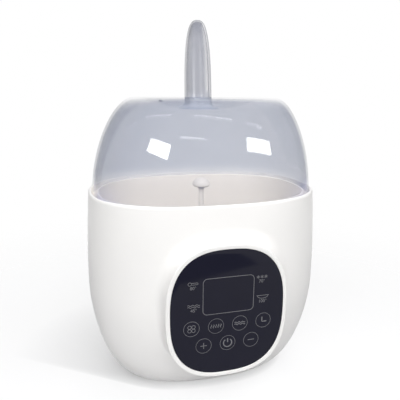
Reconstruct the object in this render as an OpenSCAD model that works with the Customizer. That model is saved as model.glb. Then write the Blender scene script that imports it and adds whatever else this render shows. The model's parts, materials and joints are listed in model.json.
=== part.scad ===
// Two-bottle warmer and steam sterilizer: a moulded pot round a heated tank,
// a bottle basket that lifts out by its stem, and a lift-off translucent lid.
// Millimetres, +Z up, front panel towards -Y, standing on its feet at z = 0.

/* [Housing] */
// Width of the housing at its widest level
body_width = 235; // [225:1:245]
// Depth of the housing at its widest level, without the panel
body_depth = 176; // [170:1:186]
// Width of the flat bottom
base_width = 156; // [148:1:164]
// Depth of the flat bottom
base_depth = 104; // [98:1:110]
// Height of the lower edge above the table
edge_height = 3; // [2.6:0.1:3.6]
// Height of the widest level
belly_height = 101; // [94:1:108]
// Height of the rim
rim_height = 192; // [187:1:200]
// How far the rim draws in from the widest level
rim_draw = 3.9; // [2.5:0.1:5]
// Fullness of the lower curve
belly_fullness = 1.8; // [1.7:0.05:2.1]
// Squareness of the plan outline, where 2 is an ellipse
plan_squareness = 2.45; // [2.3:0.05:2.7]
// Wall of the housing
housing_wall = 2.6; // [2.2:0.1:3]
// Width of the lip at the rim
rim_lip = 2.6; // [2.4:0.1:3]
// Rounding of the lip's outer edge
lip_radius = 1.5; // [0.8:0.1:1.6]
// Chamfer on the lip's inner edge
lip_chamfer = 0.5; // [0.2:0.1:0.6]
// Thickness of the ledge that carries the tank
ledge_thickness = 2.4; // [1.8:0.1:3.2]

/* [Panel] */
// Width of the dark lens
lens_width = 105; // [98:1:108]
// Height of the dark lens
lens_height = 118; // [112:1:122]
// Thickness of the lens
lens_thickness = 2; // [1.6:0.1:2.4]
// Squareness of the lens outline
lens_squareness = 2.65; // [2.4:0.05:3]
// Height of the panel's centre above the table
panel_height = 97; // [93:1:101]
// How far the panel stands out from the housing's widest level
panel_proud = 7; // [6:0.1:9]
// Width of the white rim round the lens
bezel_width = 3.6; // [3:0.1:5]
// Rounding of the bezel's front edge
bezel_radius = 2; // [1.2:0.1:2.6]
// Spread of the boss at its top, where it runs into the housing
boss_flare = 13; // [8:0.5:15]
// Wall of the boss
boss_wall = 2.2; // [1.8:0.1:2.6]
// Width of the display
display_width = 46.8; // [44:0.2:50]
// Height of the display
display_height = 33.8; // [30:0.2:36]
// Thickness of the display module
display_depth = 5.4; // [4.6:0.1:6.4]
// Height of the display's centre above the panel's centre
display_rise = 16.8; // [15:0.2:18]
// Distance between touch keys in a row
key_pitch = 22.4; // [21:0.1:23]
// Drop of the upper row of keys below the panel's centre
upper_row_drop = 12; // [11:0.5:13]
// Drop of the lower row of keys below the panel's centre
lower_row_drop = 30; // [28:0.5:32]
// Diameter of a touch pad
pad_diameter = 9; // [7:0.5:10]
// Thickness of the circuit boards
board_thickness = 1.6; // [1.2:0.1:2]
// Diameter of the buzzer
buzzer_diameter = 12; // [10:0.5:14]
// Height of the buzzer
buzzer_height = 5.5; // [4:0.5:6]

/* [Tank] */
// Height of the tank's floor above the table
tank_floor_height = 58; // [55:1:62]
// Thickness of the tank's floor
tank_floor_thickness = 3; // [2.5:0.1:3.6]
// Wall of the tank
tank_wall = 2; // [1.6:0.1:2.4]
// Draft angle of the tank's wall
tank_draft = 1.2; // [0.8:0.1:1.6]
// Rounding between the tank's floor and wall
tank_corner = 12; // [8:1:14]
// Thickness of the tank's flange
flange_thickness = 2; // [1.6:0.1:2.6]
// Depth of the groove that the lid drops into
groove_depth = 6.5; // [5.5:0.1:8]
// How far the tank's edge lies below the rim
tank_drop = 2; // [1:0.1:3]
// Diameter of the opening for the heating plate
plate_opening = 80; // [76:1:82]

/* [Lid] */
// Height of the lid's shoulders above the table
lid_top_height = 281; // [272:1:290]
// Width of the flat top of the lid
lid_top_width = 138; // [130:1:146]
// Depth of the flat top of the lid
lid_top_depth = 124; // [116:1:130]
// Fullness of the dome
lid_fullness = 1.7; // [1.6:0.05:2]
// Wall of the lid
lid_wall = 1.8; // [1.4:0.1:2.2]
// How far the lid's top leans forwards
lid_lean = 6; // [0:0.5:8]
// Clearance between the lid and the housing's lip
lid_clearance = 0.8; // [0.6:0.1:1.2]
// Gap between the lid and the tank
tank_gap = 3.2; // [2.2:0.1:4]
// Upright skirt below the dome
lid_skirt = 2.4; // [1.5:0.1:3]
// Dish of the top between the shoulders
lid_dish = 9.5; // [4:0.5:11]
// Height of the grip's tip above the table
grip_top_height = 356; // [346:1:364]
// Length of the grip from front to back
grip_length = 30; // [26:1:36]
// Thickness of the grip from side to side
grip_thickness = 25; // [22:0.5:28]
// How far the grip sits behind the middle of the lid
grip_setback = 16; // [0:1:17]
// How far the grip's tip leans back over its foot
grip_rake = 6.5; // [0:0.5:8]
// Fullness of the grip's arch
grip_fullness = 3; // [2.4:0.1:3.4]
// Squareness of the grip's plan outline
grip_squareness = 3.6; // [2.6:0.1:4]
// Fillet between the grip and the lid
grip_fillet = 5; // [2:0.5:6]
// Diameter of the steam vent
vent_diameter = 3; // [2:0.5:4]

/* [Basket] */
// Gap between the wells and the tank's wall
basket_gap = 4; // [3:0.5:6]
// Height of a well above its floor
well_height = 62; // [45:1:75]
// Wall of the basket
basket_wall = 2; // [1.6:0.1:2.2]
// Thickness of the basket's floor
basket_floor = 2.4; // [2:0.1:3]
// Height of the basket's feet
basket_foot_height = 2; // [1.5:0.1:3]
// Diameter of the basket's feet
basket_foot_diameter = 8; // [6:0.5:10]
// Width of the drain slots in the wells
drain_slot = 7; // [5:0.5:9]
// Number of drain slots round each well
drain_slots = 9; // [6:1:10]
// Diameter of the lifting stem
stem_diameter = 5.5; // [5:0.1:6.5]
// Height of the stem's hub above the basket's floor
hub_height = 30; // [20:1:40]
// Diameter of the knob
knob_diameter = 18; // [15:0.5:20]
// Height of the knob's top above the table
knob_top_height = 200.5; // [196:0.5:204]
// Height of the knob's cap
knob_cap = 8.5; // [7:0.5:10]
// Height of the knob's neck
knob_neck = 2; // [1.5:0.5:4]

/* [Heater] */
// Thickness of the heating plate
plate_thickness = 1.8; // [1.4:0.1:2.4]
// Width of the plate's flange
plate_flange = 7; // [6:0.5:7.5]
// Thickness of the silicone seal
seal_thickness = 1.5; // [1:0.1:2]
// Thickness of the clamp and strap
clamp_thickness = 1.5; // [1:0.1:2]
// Radius of the heating element's ring
element_radius = 28; // [26:0.5:29]
// Diameter of the heating element's tube
element_tube = 6.5; // [5.5:0.1:7]
// Diameter of the thermostat
thermostat_diameter = 16; // [14:0.5:17]
// Height of the thermostat's body
thermostat_height = 9; // [8:0.5:10]

/* [Base] */
// Thickness of the base cover
cover_thickness = 3; // [2.6:0.1:3.6]
// Inset of the base cover's edge from the housing's lower edge
cover_inset = 1; // [0.5:0.1:2]
// Height of the base cover's inner rim
cover_rim = 4; // [3:0.5:6]
// How far the feet stand out below the base cover
foot_proud = 1.2; // [1:0.1:1.6]
// Depth of the recesses that hold the feet
foot_recess = 1; // [0.6:0.1:1.4]
// Diameter of the feet
foot_diameter = 14; // [12:0.5:16]
// Distance between the feet, side to side
foot_span_x = 108; // [100:1:112]
// Distance between the feet, front to back
foot_span_y = 54; // [48:1:58]
// Distance between the base screws, side to side
screw_span_x = 80; // [76:1:84]
// Distance between the base screws, front to back
screw_span_y = 72; // [70:1:76]
// Diameter of the tank's screw posts
post_diameter = 9; // [8:0.5:10]
// Width of the power board
power_board_width = 92; // [88:1:98]
// Depth of the power board
power_board_depth = 50; // [46:1:54]
// Height of the posts under the power board
power_post_height = 10; // [8:0.5:12]
// Height of the cord gland's axis above the table
gland_height = 27; // [26:0.5:30]
// Diameter of the cord gland's bore
gland_bore = 7.2; // [6:0.1:8]
// Length of the cord gland
gland_length = 18; // [16:0.5:20]
// Diameter of the cord gland's collar
gland_collar = 16; // [15:0.5:18]

/* [Fits] */
// Gap between pieces that drop together
seat_gap = 0.3; // [0.2:0.05:0.5]
// Clearance round a screw, rod or lens
fit_clearance = 0.1; // [0.05:0.05:0.2]

/* [Hidden] */

$fn = 64;
ring_points = 48;
// How far a cutting shape runs past the face that it cuts
cut = 1;
// How far two solids of one moulding run into each other
sink = 0.5;

// The panel stands out in front, so the pot's axis lies behind the middle of the whole box.
axis_y = panel_proud / 2;

// Levels, from the table up
cover_bottom = foot_proud;
cover_top = cover_bottom + cover_thickness;
screw_pad = 2;
post_foot = cover_top + screw_pad;
floor_under = tank_floor_height - tank_floor_thickness;
flange_top = rim_height - groove_depth;
ledge_top = flange_top - flange_thickness;
tank_top = rim_height - tank_drop;
lid_bottom = flange_top + seat_gap;
dome_start = lid_bottom + lid_skirt;

// Faces round the rim, measured inwards from the housing's outer face at the rim
rim_half_x = body_width / 2 - rim_draw;
rim_half_y = body_depth / 2 - rim_draw;
lid_inset = rim_lip + lid_clearance;
tank_outer_inset = lid_inset + lid_wall + tank_gap;
tank_inner_inset = tank_outer_inset + tank_wall;
ledge_inset = tank_outer_inset - seat_gap;

// Planes of the panel, measured forwards from the pot's axis
panel_front = body_depth / 2 + panel_proud;
lens_back = panel_front - lens_thickness;
boss_back = lens_back - boss_wall;
display_back = lens_back - fit_clearance - display_depth;
board_front = display_back;
board_back = board_front - board_thickness;
lens_ledge = bezel_width - boss_wall;
board_gap = 1;

// Screws, all self-tapping
screw_radius = 1.45;
head_radius = 2.9;
head_height = 1.8;
pilot_radius = screw_radius + fit_clearance;
tip_room = 2;
base_screw_length = 18;
board_post_radius = 3.4;

// The heater stack hangs under the tank's floor.
flange_radius = plate_opening / 2 + plate_flange;
plate_flange_top = floor_under - seal_thickness;
plate_flange_under = plate_flange_top - plate_thickness;
crown_gap = 0.8;
crown_drop = 0.6;
crown_bevel = 2;
crown_radius = plate_opening / 2 - crown_gap;
crown_inside = crown_radius - plate_thickness;
crown_top = tank_floor_height - crown_drop;
crown_under = crown_top - plate_thickness;
clamp_under = plate_flange_under - clamp_thickness;
strap_under = clamp_under - clamp_thickness;
clamp_screw_radius = flange_radius + 5;
clamp_boss_radius = 4;
contact_gap = 0.1;
thermostat_under = crown_under - contact_gap - thermostat_height;

// The heating element is an open ring, with a pin on each end that the leads join.
element_height = crown_under - contact_gap - element_tube / 2;
element_gap = 30;
pin_radius = 2;
pin_length = 11;

// The supply board stands on the base cover's posts.
power_board_under = cover_top + power_post_height;
power_board_top = power_board_under + board_thickness;
power_post_radius = 3.5;
power_post_inset = 4.5;

basket_foot_under = tank_floor_height + seat_gap;
basket_under = basket_foot_under + basket_foot_height;
basket_floor_top = basket_under + basket_floor;
hub_radius = 8;
hub_overlap = 1;

// The wells fill the tank's width: two of them and the hub between, with the gap at both ends.
tank_corner_inside = tank_corner - tank_wall;
basket_slope = acos(1 - (basket_under - tank_floor_height) / tank_corner_inside);
basket_room = rim_half_x - tank_inner_inset - (rim_height - basket_under) * tan(tank_draft)
    - tank_corner_inside * (1 - sin(basket_slope));
well_outer = (basket_room - basket_gap - hub_radius + hub_overlap) / 2;
well_diameter = 2 * (well_outer - basket_wall);
well_spacing = 2 * (well_outer + hub_radius - hub_overlap);
stem_seat = basket_floor_top + 1;
knob_cap_under = knob_top_height - knob_cap;
knob_under = knob_cap_under - knob_neck;
knob_socket = 2;
stem_top = knob_cap_under + knob_socket;

// The cord gland grips the rear wall between its collar and its barb.
gland_grip = 3;
gland_wall_room = 0.6;
gland_seat = pot_half_y(gland_height - gland_collar / 2, edge_height + housing_wall)
    - housing_wall + gland_grip - gland_wall_room;
gland_flange = 4;
gland_barb = 2.8;
gland_neck = 6;
gland_pad = gland_collar / 2 + 3;
gland_pocket_gap = 0.5;
gland_reach = 40;
gland_inner_end = gland_flange - gland_length;

// Signed power, for superellipse outlines
function bent(v, squareness) = sign(v) * pow(abs(v), 2 / squareness);

// Level outline of half-width a and half-depth b at height z, middle moved back by shift
function ring(a, b, z, shift = 0, squareness = plan_squareness) = [
    for (i = [0 : ring_points - 1])
        let (turn = 360 * i / ring_points)
        [a * bent(cos(turn), squareness), shift + b * bent(sin(turn), squareness), z]
];

// Point of the panel's upright outline at a turn round its centre, grown all round, at depth -y
function panel_point(turn, grow, y) = [
    (lens_width / 2 + grow) * bent(cos(turn), lens_squareness),
    -y,
    panel_height + (lens_height / 2 + grow) * bent(sin(turn), lens_squareness)
];

function panel_ring(y, grow) = [
    for (i = [0 : ring_points - 1]) panel_point(360 * i / ring_points, grow, y)
];

// Lower curve of the pot: 0 at the bottom edge, 1 at the widest level
function belly(z, bottom) =
    z >= belly_height ? 1
    : pow(1 - pow(1 - (z - bottom) / (belly_height - bottom), belly_fullness), 1 / belly_fullness);

// Drawing in above the widest level
function draw_in(z) =
    z <= belly_height ? 0 : rim_draw * pow((z - belly_height) / (rim_height - belly_height), 2);

// Half-width and half-depth of the pot at height z
function pot_half_x(z, bottom) =
    base_width / 2 + (body_width - base_width) / 2 * belly(z, bottom) - draw_in(z);
function pot_half_y(z, bottom) =
    base_depth / 2 + (body_depth - base_depth) / 2 * belly(z, bottom) - draw_in(z);

// Outline of the pot at height z, a constant inset inside its outer face
function pot_ring(z, inset, bottom) =
    ring(pot_half_x(z, bottom) - inset, pot_half_y(z, bottom) - inset, z);

// Depth of the pot's front face at a point of the panel's plane
function pot_front(x, z) =
    pot_half_y(z, edge_height)
    * pow(1 - pow(abs(x) / pot_half_x(z, edge_height), plan_squareness), 1 / plan_squareness);

// Outline of the boss at an angle round its hollow fillet: 0 is the bezel's shoulder, 90 the pot's face.
// The fillet is widest at the top and runs out at the bottom. Sunk moves the outline back into the pot.
function fillet_ring(angle, sunk = 0) = [
    for (i = [0 : ring_points - 1])
        let (
            turn = 360 * i / ring_points,
            spread = boss_flare * (1 + sin(turn)) / 2,
            foot = panel_point(turn, bezel_width + spread, 0),
            shoulder = panel_front - bezel_radius,
            drop = shoulder - pot_front(foot.x, foot.z)
        )
        panel_point(turn, bezel_width + spread * (1 - cos(angle)), shoulder - drop * sin(angle) - sunk)
];

// Outline parallel to the rim's outer face
function rim_ring(inset, z) = ring(rim_half_x - inset, rim_half_y - inset, z);

// Outline of the tank's drafted wall
function tank_ring(inset, z) = rim_ring(inset + (rim_height - z) * tan(tank_draft), z);

// Heights that crowd towards the bottom, where the lower curve is flattest
function belly_levels(bottom, steps) = [
    for (k = [0 : steps]) bottom + (belly_height - bottom) * (1 - cos(90 * k / steps))
];

function reversed(list) = [for (i = [len(list) - 1 : -1 : 0]) list[i]];

// Skin over a stack of outlines with equal counts of points, closed at both ends
module loft(rings) {
    n = len(rings[0]);
    last = len(rings) - 1;
    sides = [
        for (j = [0 : last - 1], i = [0 : n - 1])
            let (a = j * n + i, b = j * n + (i + 1) % n)
            each [[a, a + n, b + n], [a, b + n, b]]
    ];
    polyhedron(
        points = [for (r = rings) each r],
        faces = concat([[for (i = [0 : n - 1]) i]], sides, [[for (i = [n - 1 : -1 : 0]) last * n + i]])
    );
}

// Moves a piece from the pot's own axis to the part's origin
module on_axis() {
    translate([0, axis_y, 0]) children();
}

// Repeats a piece at the corners of a rectangle
module at_corners(span_x, span_y) {
    for (x = [-1, 1], y = [-1, 1])
        translate([x * span_x / 2, y * span_y / 2, 0]) children();
}

// Turns a piece drawn along +Z to stand forwards, its foot at depth -y on the panel's centre line
module on_panel(y, x = 0, rise = 0) {
    translate([x, -y, panel_height + rise]) rotate([90, 0, 0]) children();
}

// Places of the touch keys: four in the upper row, three in the lower row
module at_keys(y) {
    for (k = [-1.5 : 1 : 1.5])
        on_panel(y, k * key_pitch, -upper_row_drop) children();
    for (k = [-1 : 1])
        on_panel(y, k * key_pitch, -lower_row_drop) children();
}

// Places of the screws that hold the control board
module at_board_screws(y) {
    for (x = [-1, 1], z = [-1, 1])
        on_panel(y, x * lens_width * 0.29, z * lens_height * 0.375) children();
}

// Superellipse plate of the panel's outline, grown all round, between two depths
module panel_plate(back, front, grow) {
    outline = [for (p = panel_ring(0, grow)) [p.x, p.z]];
    translate([0, -back, 0]) rotate([90, 0, 0]) linear_extrude(front - back) polygon(outline);
}

// Superellipse plate of the base's outline, inset all round, between two heights
module base_plate(low, high, inset) {
    outline = [for (p = ring(base_width / 2 - inset, base_depth / 2 - inset, 0)) [p.x, p.y]];
    translate([0, 0, low]) linear_extrude(high - low) polygon(outline);
}

// Pan-head screw pointing up, its head's upper face at z = 0
module screw_up(length) {
    translate([0, 0, -head_height]) cylinder(r = head_radius, h = head_height);
    cylinder(r = screw_radius, h = length);
}

// Outer form of the pot, with its rounded lip
module pot_form() {
    upper_steps = 4;
    upper = [for (k = [1 : upper_steps])
        belly_height + (rim_height - lip_radius - belly_height) * k / upper_steps];
    loft(concat(
        [for (z = belly_levels(edge_height, 9)) pot_ring(z, 0, edge_height)],
        [for (z = upper) pot_ring(z, 0, edge_height)],
        [for (a = [30 : 30 : 90])
            rim_ring(lip_radius * (1 - cos(a)), rim_height - lip_radius * (1 - sin(a)))]
    ));
}

// Space inside the pot: the base opening, the belly, the tank's ledge and the lip
module pot_space() {
    bottom = edge_height + housing_wall;
    ledge_under = ledge_top - ledge_thickness;
    slope_start = ledge_under - (ledge_inset - housing_wall);
    beyond = 1;
    loft(concat(
        [ring(base_width / 2 - housing_wall, base_depth / 2 - housing_wall, edge_height - beyond)],
        [for (z = belly_levels(bottom, 8)) pot_ring(z, housing_wall, bottom)],
        [rim_ring(housing_wall, slope_start)],
        [rim_ring(ledge_inset, ledge_under)],
        [rim_ring(ledge_inset, ledge_top)],
        [rim_ring(rim_lip, ledge_top)],
        [rim_ring(rim_lip, rim_height - lip_chamfer)],
        [rim_ring(rim_lip - lip_chamfer, rim_height)],
        [rim_ring(rim_lip - lip_chamfer, rim_height + beyond)]
    ));
}

// Raised boss of the panel: its root inside the pot, the hollow fillet, and the bezel's round edge
module panel_boss() {
    root_depth = body_depth / 3;
    root_sunk = 4;
    fillet_end = 65;
    fillet_step = 13;
    loft(concat(
        [panel_ring(root_depth, bezel_width)],
        [fillet_ring(fillet_end, root_sunk)],
        [for (a = [fillet_end : -fillet_step : fillet_step]) fillet_ring(a)],
        [for (a = [0 : 30 : 90])
            panel_ring(panel_front - bezel_radius * (1 - sin(a)), bezel_width - bezel_radius * (1 - cos(a)))]
    ));
}

// Turns a piece drawn along +Z to point out of the rear wall, its foot at depth y
module gland_axis(y) {
    translate([0, y, gland_height]) rotate([-90, 0, 0]) children();
}

module outer_housing() {
    hollow_back = body_depth * 0.4;
    window = [display_width + 2 * seat_gap, panel_front - boss_back + cut, display_height + 2 * seat_gap];
    window_foot = panel_height + display_rise - window.z / 2;
    post_length = boss_back - board_front;
    color("white") on_axis() {
        difference() {
            union() {
                pot_form();
                panel_boss();
            }
            difference() {
                pot_space();
                gland_axis(gland_seat - gland_grip) cylinder(r = gland_pad, h = gland_reach);
            }
            gland_axis(gland_seat) cylinder(d = gland_collar + 2 * gland_pocket_gap, h = gland_reach);
            gland_axis(gland_seat - gland_pad) cylinder(r = gland_neck + fit_clearance, h = gland_reach);
            panel_plate(lens_back, panel_front + cut, fit_clearance);
            panel_plate(hollow_back, boss_back, lens_ledge);
            translate([-window.x / 2, -panel_front, window_foot]) cube(window);
            at_keys(boss_back - cut) cylinder(d = pad_diameter + 2 * seat_gap, h = boss_wall + 2 * cut);
        }
        at_board_screws(board_front) difference() {
            cylinder(r = board_post_radius, h = post_length + sink);
            translate([0, 0, -cut]) cylinder(r = pilot_radius, h = post_length + cut);
        }
    }
}

module panel_lens() {
    color([0.1, 0.1, 0.13]) on_axis() panel_plate(lens_back, panel_front, 0);
}

module display_module() {
    color("dimgray") on_axis()
        translate([-display_width / 2, -lens_back + fit_clearance, panel_height + display_rise - display_height / 2])
            cube([display_width, display_depth, display_height]);
}

module control_board() {
    color("darkgreen") on_axis() difference() {
        panel_plate(board_back, board_front, lens_ledge - board_gap);
        at_board_screws(board_back - cut) cylinder(r = pilot_radius, h = board_thickness + 2 * cut);
    }
}

module touch_pads() {
    color("darkslategray") on_axis()
        at_keys(board_front) cylinder(d = pad_diameter, h = lens_back - fit_clearance - board_front);
}

module buzzer() {
    color("black") on_axis()
        translate([0, -board_back, panel_height + display_rise]) rotate([-90, 0, 0])
            cylinder(d = buzzer_diameter, h = buzzer_height);
}

module board_screws() {
    tip_gap = 0.6;
    color("silver") on_axis() at_board_screws(board_back)
        screw_up(board_thickness + boss_back - board_front - tip_gap);
}

module inner_tank() {
    outer = tank_outer_inset;
    inner = tank_inner_inset;
    edge = 0.75;
    boss_height = floor_under - plate_flange_under;
    color("ivory") on_axis() {
        difference() {
            union() {
                loft(concat(
                    [for (a = [0 : 30 : 90])
                        tank_ring(outer + tank_corner * (1 - sin(a)), floor_under + tank_corner * (1 - cos(a)))],
                    [rim_ring(outer, ledge_top)],
                    [rim_ring(rim_lip + seat_gap, ledge_top)],
                    [rim_ring(rim_lip + seat_gap, flange_top)],
                    [rim_ring(outer, flange_top)],
                    [rim_ring(outer, tank_top - edge)],
                    [rim_ring(outer + edge, tank_top)],
                    [rim_ring(inner - edge, tank_top)],
                    [rim_ring(inner, tank_top - edge)],
                    [for (a = [90 : -30 : 0])
                        tank_ring(inner + tank_corner_inside * (1 - sin(a)),
                            tank_floor_height + tank_corner_inside * (1 - cos(a)))]
                ));
                at_corners(screw_span_x, screw_span_y) translate([0, 0, post_foot])
                    cylinder(d = post_diameter, h = floor_under - post_foot + sink);
                for (turn = [0 : 90 : 270]) rotate(turn)
                    translate([clamp_screw_radius, 0, plate_flange_under])
                        cylinder(r = clamp_boss_radius, h = boss_height + sink);
            }
            translate([0, 0, floor_under - cut]) cylinder(d = plate_opening, h = tank_floor_thickness + 2 * cut);
            at_corners(screw_span_x, screw_span_y) translate([0, 0, post_foot - cut])
                cylinder(r = pilot_radius, h = base_screw_length + tip_room + cut);
            for (turn = [0 : 90 : 270]) rotate(turn)
                translate([clamp_screw_radius, 0, plate_flange_under - cut])
                    cylinder(r = pilot_radius, h = boss_height + tank_floor_thickness / 2 + cut);
        }
    }
}

module heating_plate() {
    color("gainsboro") on_axis() rotate_extrude() polygon([
        [0, crown_under],
        [crown_inside - crown_bevel, crown_under],
        [crown_inside, crown_under - crown_bevel],
        [crown_inside, plate_flange_under],
        [flange_radius, plate_flange_under],
        [flange_radius, plate_flange_top],
        [crown_radius, plate_flange_top],
        [crown_radius, crown_top - crown_bevel],
        [crown_radius - crown_bevel, crown_top],
        [0, crown_top]
    ]);
}

module plate_seal() {
    color("lightsteelblue") on_axis() translate([0, 0, plate_flange_top]) difference() {
        cylinder(r = flange_radius, h = seal_thickness);
        translate([0, 0, -cut]) cylinder(r = crown_radius + contact_gap, h = seal_thickness + 2 * cut);
    }
}

module plate_clamp() {
    ear = clamp_screw_radius - flange_radius;
    color("silver") on_axis() translate([0, 0, clamp_under]) linear_extrude(clamp_thickness) difference() {
        union() {
            circle(r = flange_radius);
            for (turn = [0 : 90 : 270]) rotate(turn) {
                translate([clamp_screw_radius, 0]) circle(r = clamp_boss_radius);
                translate([flange_radius - ear, -clamp_boss_radius]) square([2 * ear, 2 * clamp_boss_radius]);
            }
        }
        circle(r = crown_inside + contact_gap);
        for (turn = [0 : 90 : 270]) rotate(turn) translate([clamp_screw_radius, 0]) circle(r = pilot_radius);
    }
}

module clamp_screws() {
    bite = 0.8;
    shank = floor_under - clamp_under + bite;
    color("gray") on_axis() {
        for (turn = [0, 180]) rotate(turn)
            translate([clamp_screw_radius, 0, strap_under]) screw_up(shank + clamp_thickness);
        for (turn = [90, 270]) rotate(turn)
            translate([clamp_screw_radius, 0, clamp_under]) screw_up(shank);
    }
}

// Places of the element's two pins, beside the ends of the open ring
function pin_place(side) = [
    element_radius * cos(element_gap) - pin_radius * sin(element_gap),
    side * (element_radius * sin(element_gap) + pin_radius * cos(element_gap)),
    element_height - pin_length
];

module heating_element() {
    color("slategray") on_axis() {
        translate([0, 0, element_height]) rotate(element_gap) rotate_extrude(angle = 360 - 2 * element_gap)
            translate([element_radius, 0]) circle(d = element_tube);
        for (side = [-1, 1]) translate(pin_place(side)) cylinder(r = pin_radius, h = pin_length);
    }
}

module thermostat() {
    blade = [0.8, 6.3, 7];
    blade_place = 3.2;
    color("saddlebrown") on_axis() translate([0, 0, thermostat_under]) {
        cylinder(d = thermostat_diameter, h = thermostat_height);
        for (x = [-blade_place, blade_place])
            translate([x - blade.x / 2, -blade.y / 2, -blade.z]) cube(blade + [0, 0, sink]);
    }
}

// Sprung strap that presses the thermostat up against the plate
module thermostat_strap() {
    half_width = thermostat_diameter / 2 + 0.5;
    hole_diameter = thermostat_diameter - 5;
    ear = clamp_screw_radius + clamp_boss_radius;
    slope = 8;
    slope_shift = 0.6;
    low = thermostat_under - clamp_thickness;
    run = crown_inside - slope;
    side = [
        [0, low],
        [run, low],
        [crown_inside, strap_under],
        [ear, strap_under],
        [ear, clamp_under],
        [crown_inside - slope_shift, clamp_under],
        [run - slope_shift, thermostat_under],
        [0, thermostat_under]
    ];
    color("silver") on_axis() difference() {
        for (turn = [0, 180]) rotate(turn) rotate([90, 0, 0])
            translate([0, 0, -half_width]) linear_extrude(2 * half_width) polygon(side);
        translate([0, 0, low - cut]) cylinder(d = hole_diameter, h = clamp_thickness + 2 * cut);
        for (x = [-1, 1]) translate([x * clamp_screw_radius, 0, strap_under - cut])
            cylinder(r = pilot_radius, h = clamp_thickness + 2 * cut);
    }
}

module thermal_fuse() {
    fuse_radius = 2.2;
    fuse_length = 13;
    fuse_place = element_radius * 0.6;
    color("sienna") on_axis()
        translate([-fuse_length / 2, -fuse_place, crown_under - contact_gap - fuse_radius])
            rotate([0, 90, 0]) cylinder(r = fuse_radius, h = fuse_length);
}

module temperature_sensor() {
    probe_radius = 2.6;
    probe_length = 9;
    probe_place = element_radius * 0.6;
    color("goldenrod") on_axis()
        translate([0, probe_place, crown_under - contact_gap - probe_length])
            cylinder(r = probe_radius, h = probe_length);
}

// Places of the posts under the supply board
module at_power_posts() {
    at_corners(power_board_width - 2 * power_post_inset, power_board_depth - 2 * power_post_inset) children();
}

module power_board() {
    color("darkgreen") on_axis() difference() {
        translate([-power_board_width / 2, -power_board_depth / 2, power_board_under])
            cube([power_board_width, power_board_depth, board_thickness]);
        at_power_posts() translate([0, 0, power_board_under - cut])
            cylinder(r = pilot_radius, h = board_thickness + 2 * cut);
    }
}

module power_relay() {
    size = [15, 19, 15];
    place = -34;
    color("royalblue") on_axis() translate([place, -size.y / 2, power_board_top]) cube(size);
}

module power_transformer() {
    core = [20, 22, 14];
    coil_radius = 8;
    coil_height = 3;
    color("khaki") on_axis() translate([-core.x / 2, -core.y / 2, power_board_top]) {
        cube(core);
        translate([core.x / 2, core.y / 2, core.z]) cylinder(r = coil_radius, h = coil_height);
    }
}

module filter_capacitor() {
    can_radius = 6;
    can_height = 16;
    place = 24;
    color("midnightblue") on_axis() translate([place, 0, power_board_top]) cylinder(r = can_radius, h = can_height);
}

module power_screws() {
    color("silver") on_axis() at_power_posts() translate([0, 0, power_board_top])
        mirror([0, 0, 1]) screw_up(board_thickness + power_post_height - tip_room);
}

// Tube of a small wire along a list of points, its outlines level
module wire(points, radius) {
    sides = 8;
    loft([for (p = points) [for (i = [0 : sides - 1]) p + radius * [cos(360 * i / sides), sin(360 * i / sides), 0]]]);
}

// Easy S-curve between two points, rising all the way
function rising_curve(from, to, steps) = [
    for (k = [0 : steps])
        let (u = k / steps, ease = (1 - cos(180 * u)) / 2)
        [from.x + (to.x - from.x) * ease, from.y + (to.y - from.y) * ease, from.z + (to.z - from.z) * u]
];

module heater_leads() {
    lead_radius = 1.4;
    lead_steps = 8;
    terminal_x = 36;
    terminal_y = 6;
    color("firebrick") on_axis() for (side = [-1, 1])
        wire(rising_curve([terminal_x, side * terminal_y, power_board_top], pin_place(side), lead_steps), lead_radius);
}

// Flat cable from the foot of the control board to the front edge of the supply board
module panel_ribbon() {
    width = lens_width / 6;
    thick = board_thickness / 2;
    joint = lens_height / 15;
    landing = power_board_depth / 12;
    reach = joint * 0.75;
    ease = thick / 2;
    top = panel_height - lens_height * 0.4;
    bend = top - joint;
    front = -board_back;
    edge = -power_board_depth / 2 + landing;
    low = power_board_top;
    color("lightgray") on_axis() translate([-width / 2, 0, 0]) rotate([90, 0, 90]) linear_extrude(width) polygon([
        [front, top + joint],
        [front, top],
        [front + reach, bend],
        [edge, low],
        [edge + landing, low],
        [edge + landing, low + thick],
        [edge + ease, low + thick],
        [front + reach + thick, bend + ease],
        [front + thick, top + ease],
        [front + thick, top + joint]
    ]);
}

module base_cover() {
    spigot = housing_wall + seat_gap;
    rim = 2;
    head_room = 0.2;
    pad_diameter_under_post = post_diameter + 2;
    slot_pitch = 7;
    slot = [3, 24, cover_thickness + 2 * cut];
    color("whitesmoke") on_axis() difference() {
        union() {
            base_plate(cover_bottom, edge_height, cover_inset);
            base_plate(edge_height, cover_top, spigot);
            difference() {
                base_plate(cover_top - sink, cover_top + cover_rim, spigot);
                base_plate(cover_top - cut, cover_top + cover_rim + cut, spigot + rim);
            }
            at_corners(screw_span_x, screw_span_y) translate([0, 0, cover_top - sink])
                cylinder(d = pad_diameter_under_post, h = screw_pad + sink);
            at_power_posts() translate([0, 0, cover_top - sink])
                cylinder(r = power_post_radius, h = power_post_height + sink);
        }
        at_corners(foot_span_x, foot_span_y) translate([0, 0, cover_bottom - cut])
            cylinder(d = foot_diameter + 2 * fit_clearance, h = foot_recess + cut);
        at_corners(screw_span_x, screw_span_y) translate([0, 0, cover_bottom - cut]) {
            cylinder(r = head_radius + seat_gap, h = head_height + head_room + cut);
            cylinder(r = pilot_radius, h = post_foot);
        }
        at_power_posts() translate([0, 0, cover_top + cut]) cylinder(r = pilot_radius, h = power_post_height);
        for (k = [-3 : 3])
            translate([k * slot_pitch - slot.x / 2, -slot.y / 2, cover_bottom - cut]) cube(slot);
    }
}

module rubber_feet() {
    taper = 1;
    color("dimgray") on_axis() at_corners(foot_span_x, foot_span_y)
        cylinder(d1 = foot_diameter - taper, d2 = foot_diameter, h = foot_proud + foot_recess);
}

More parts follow.
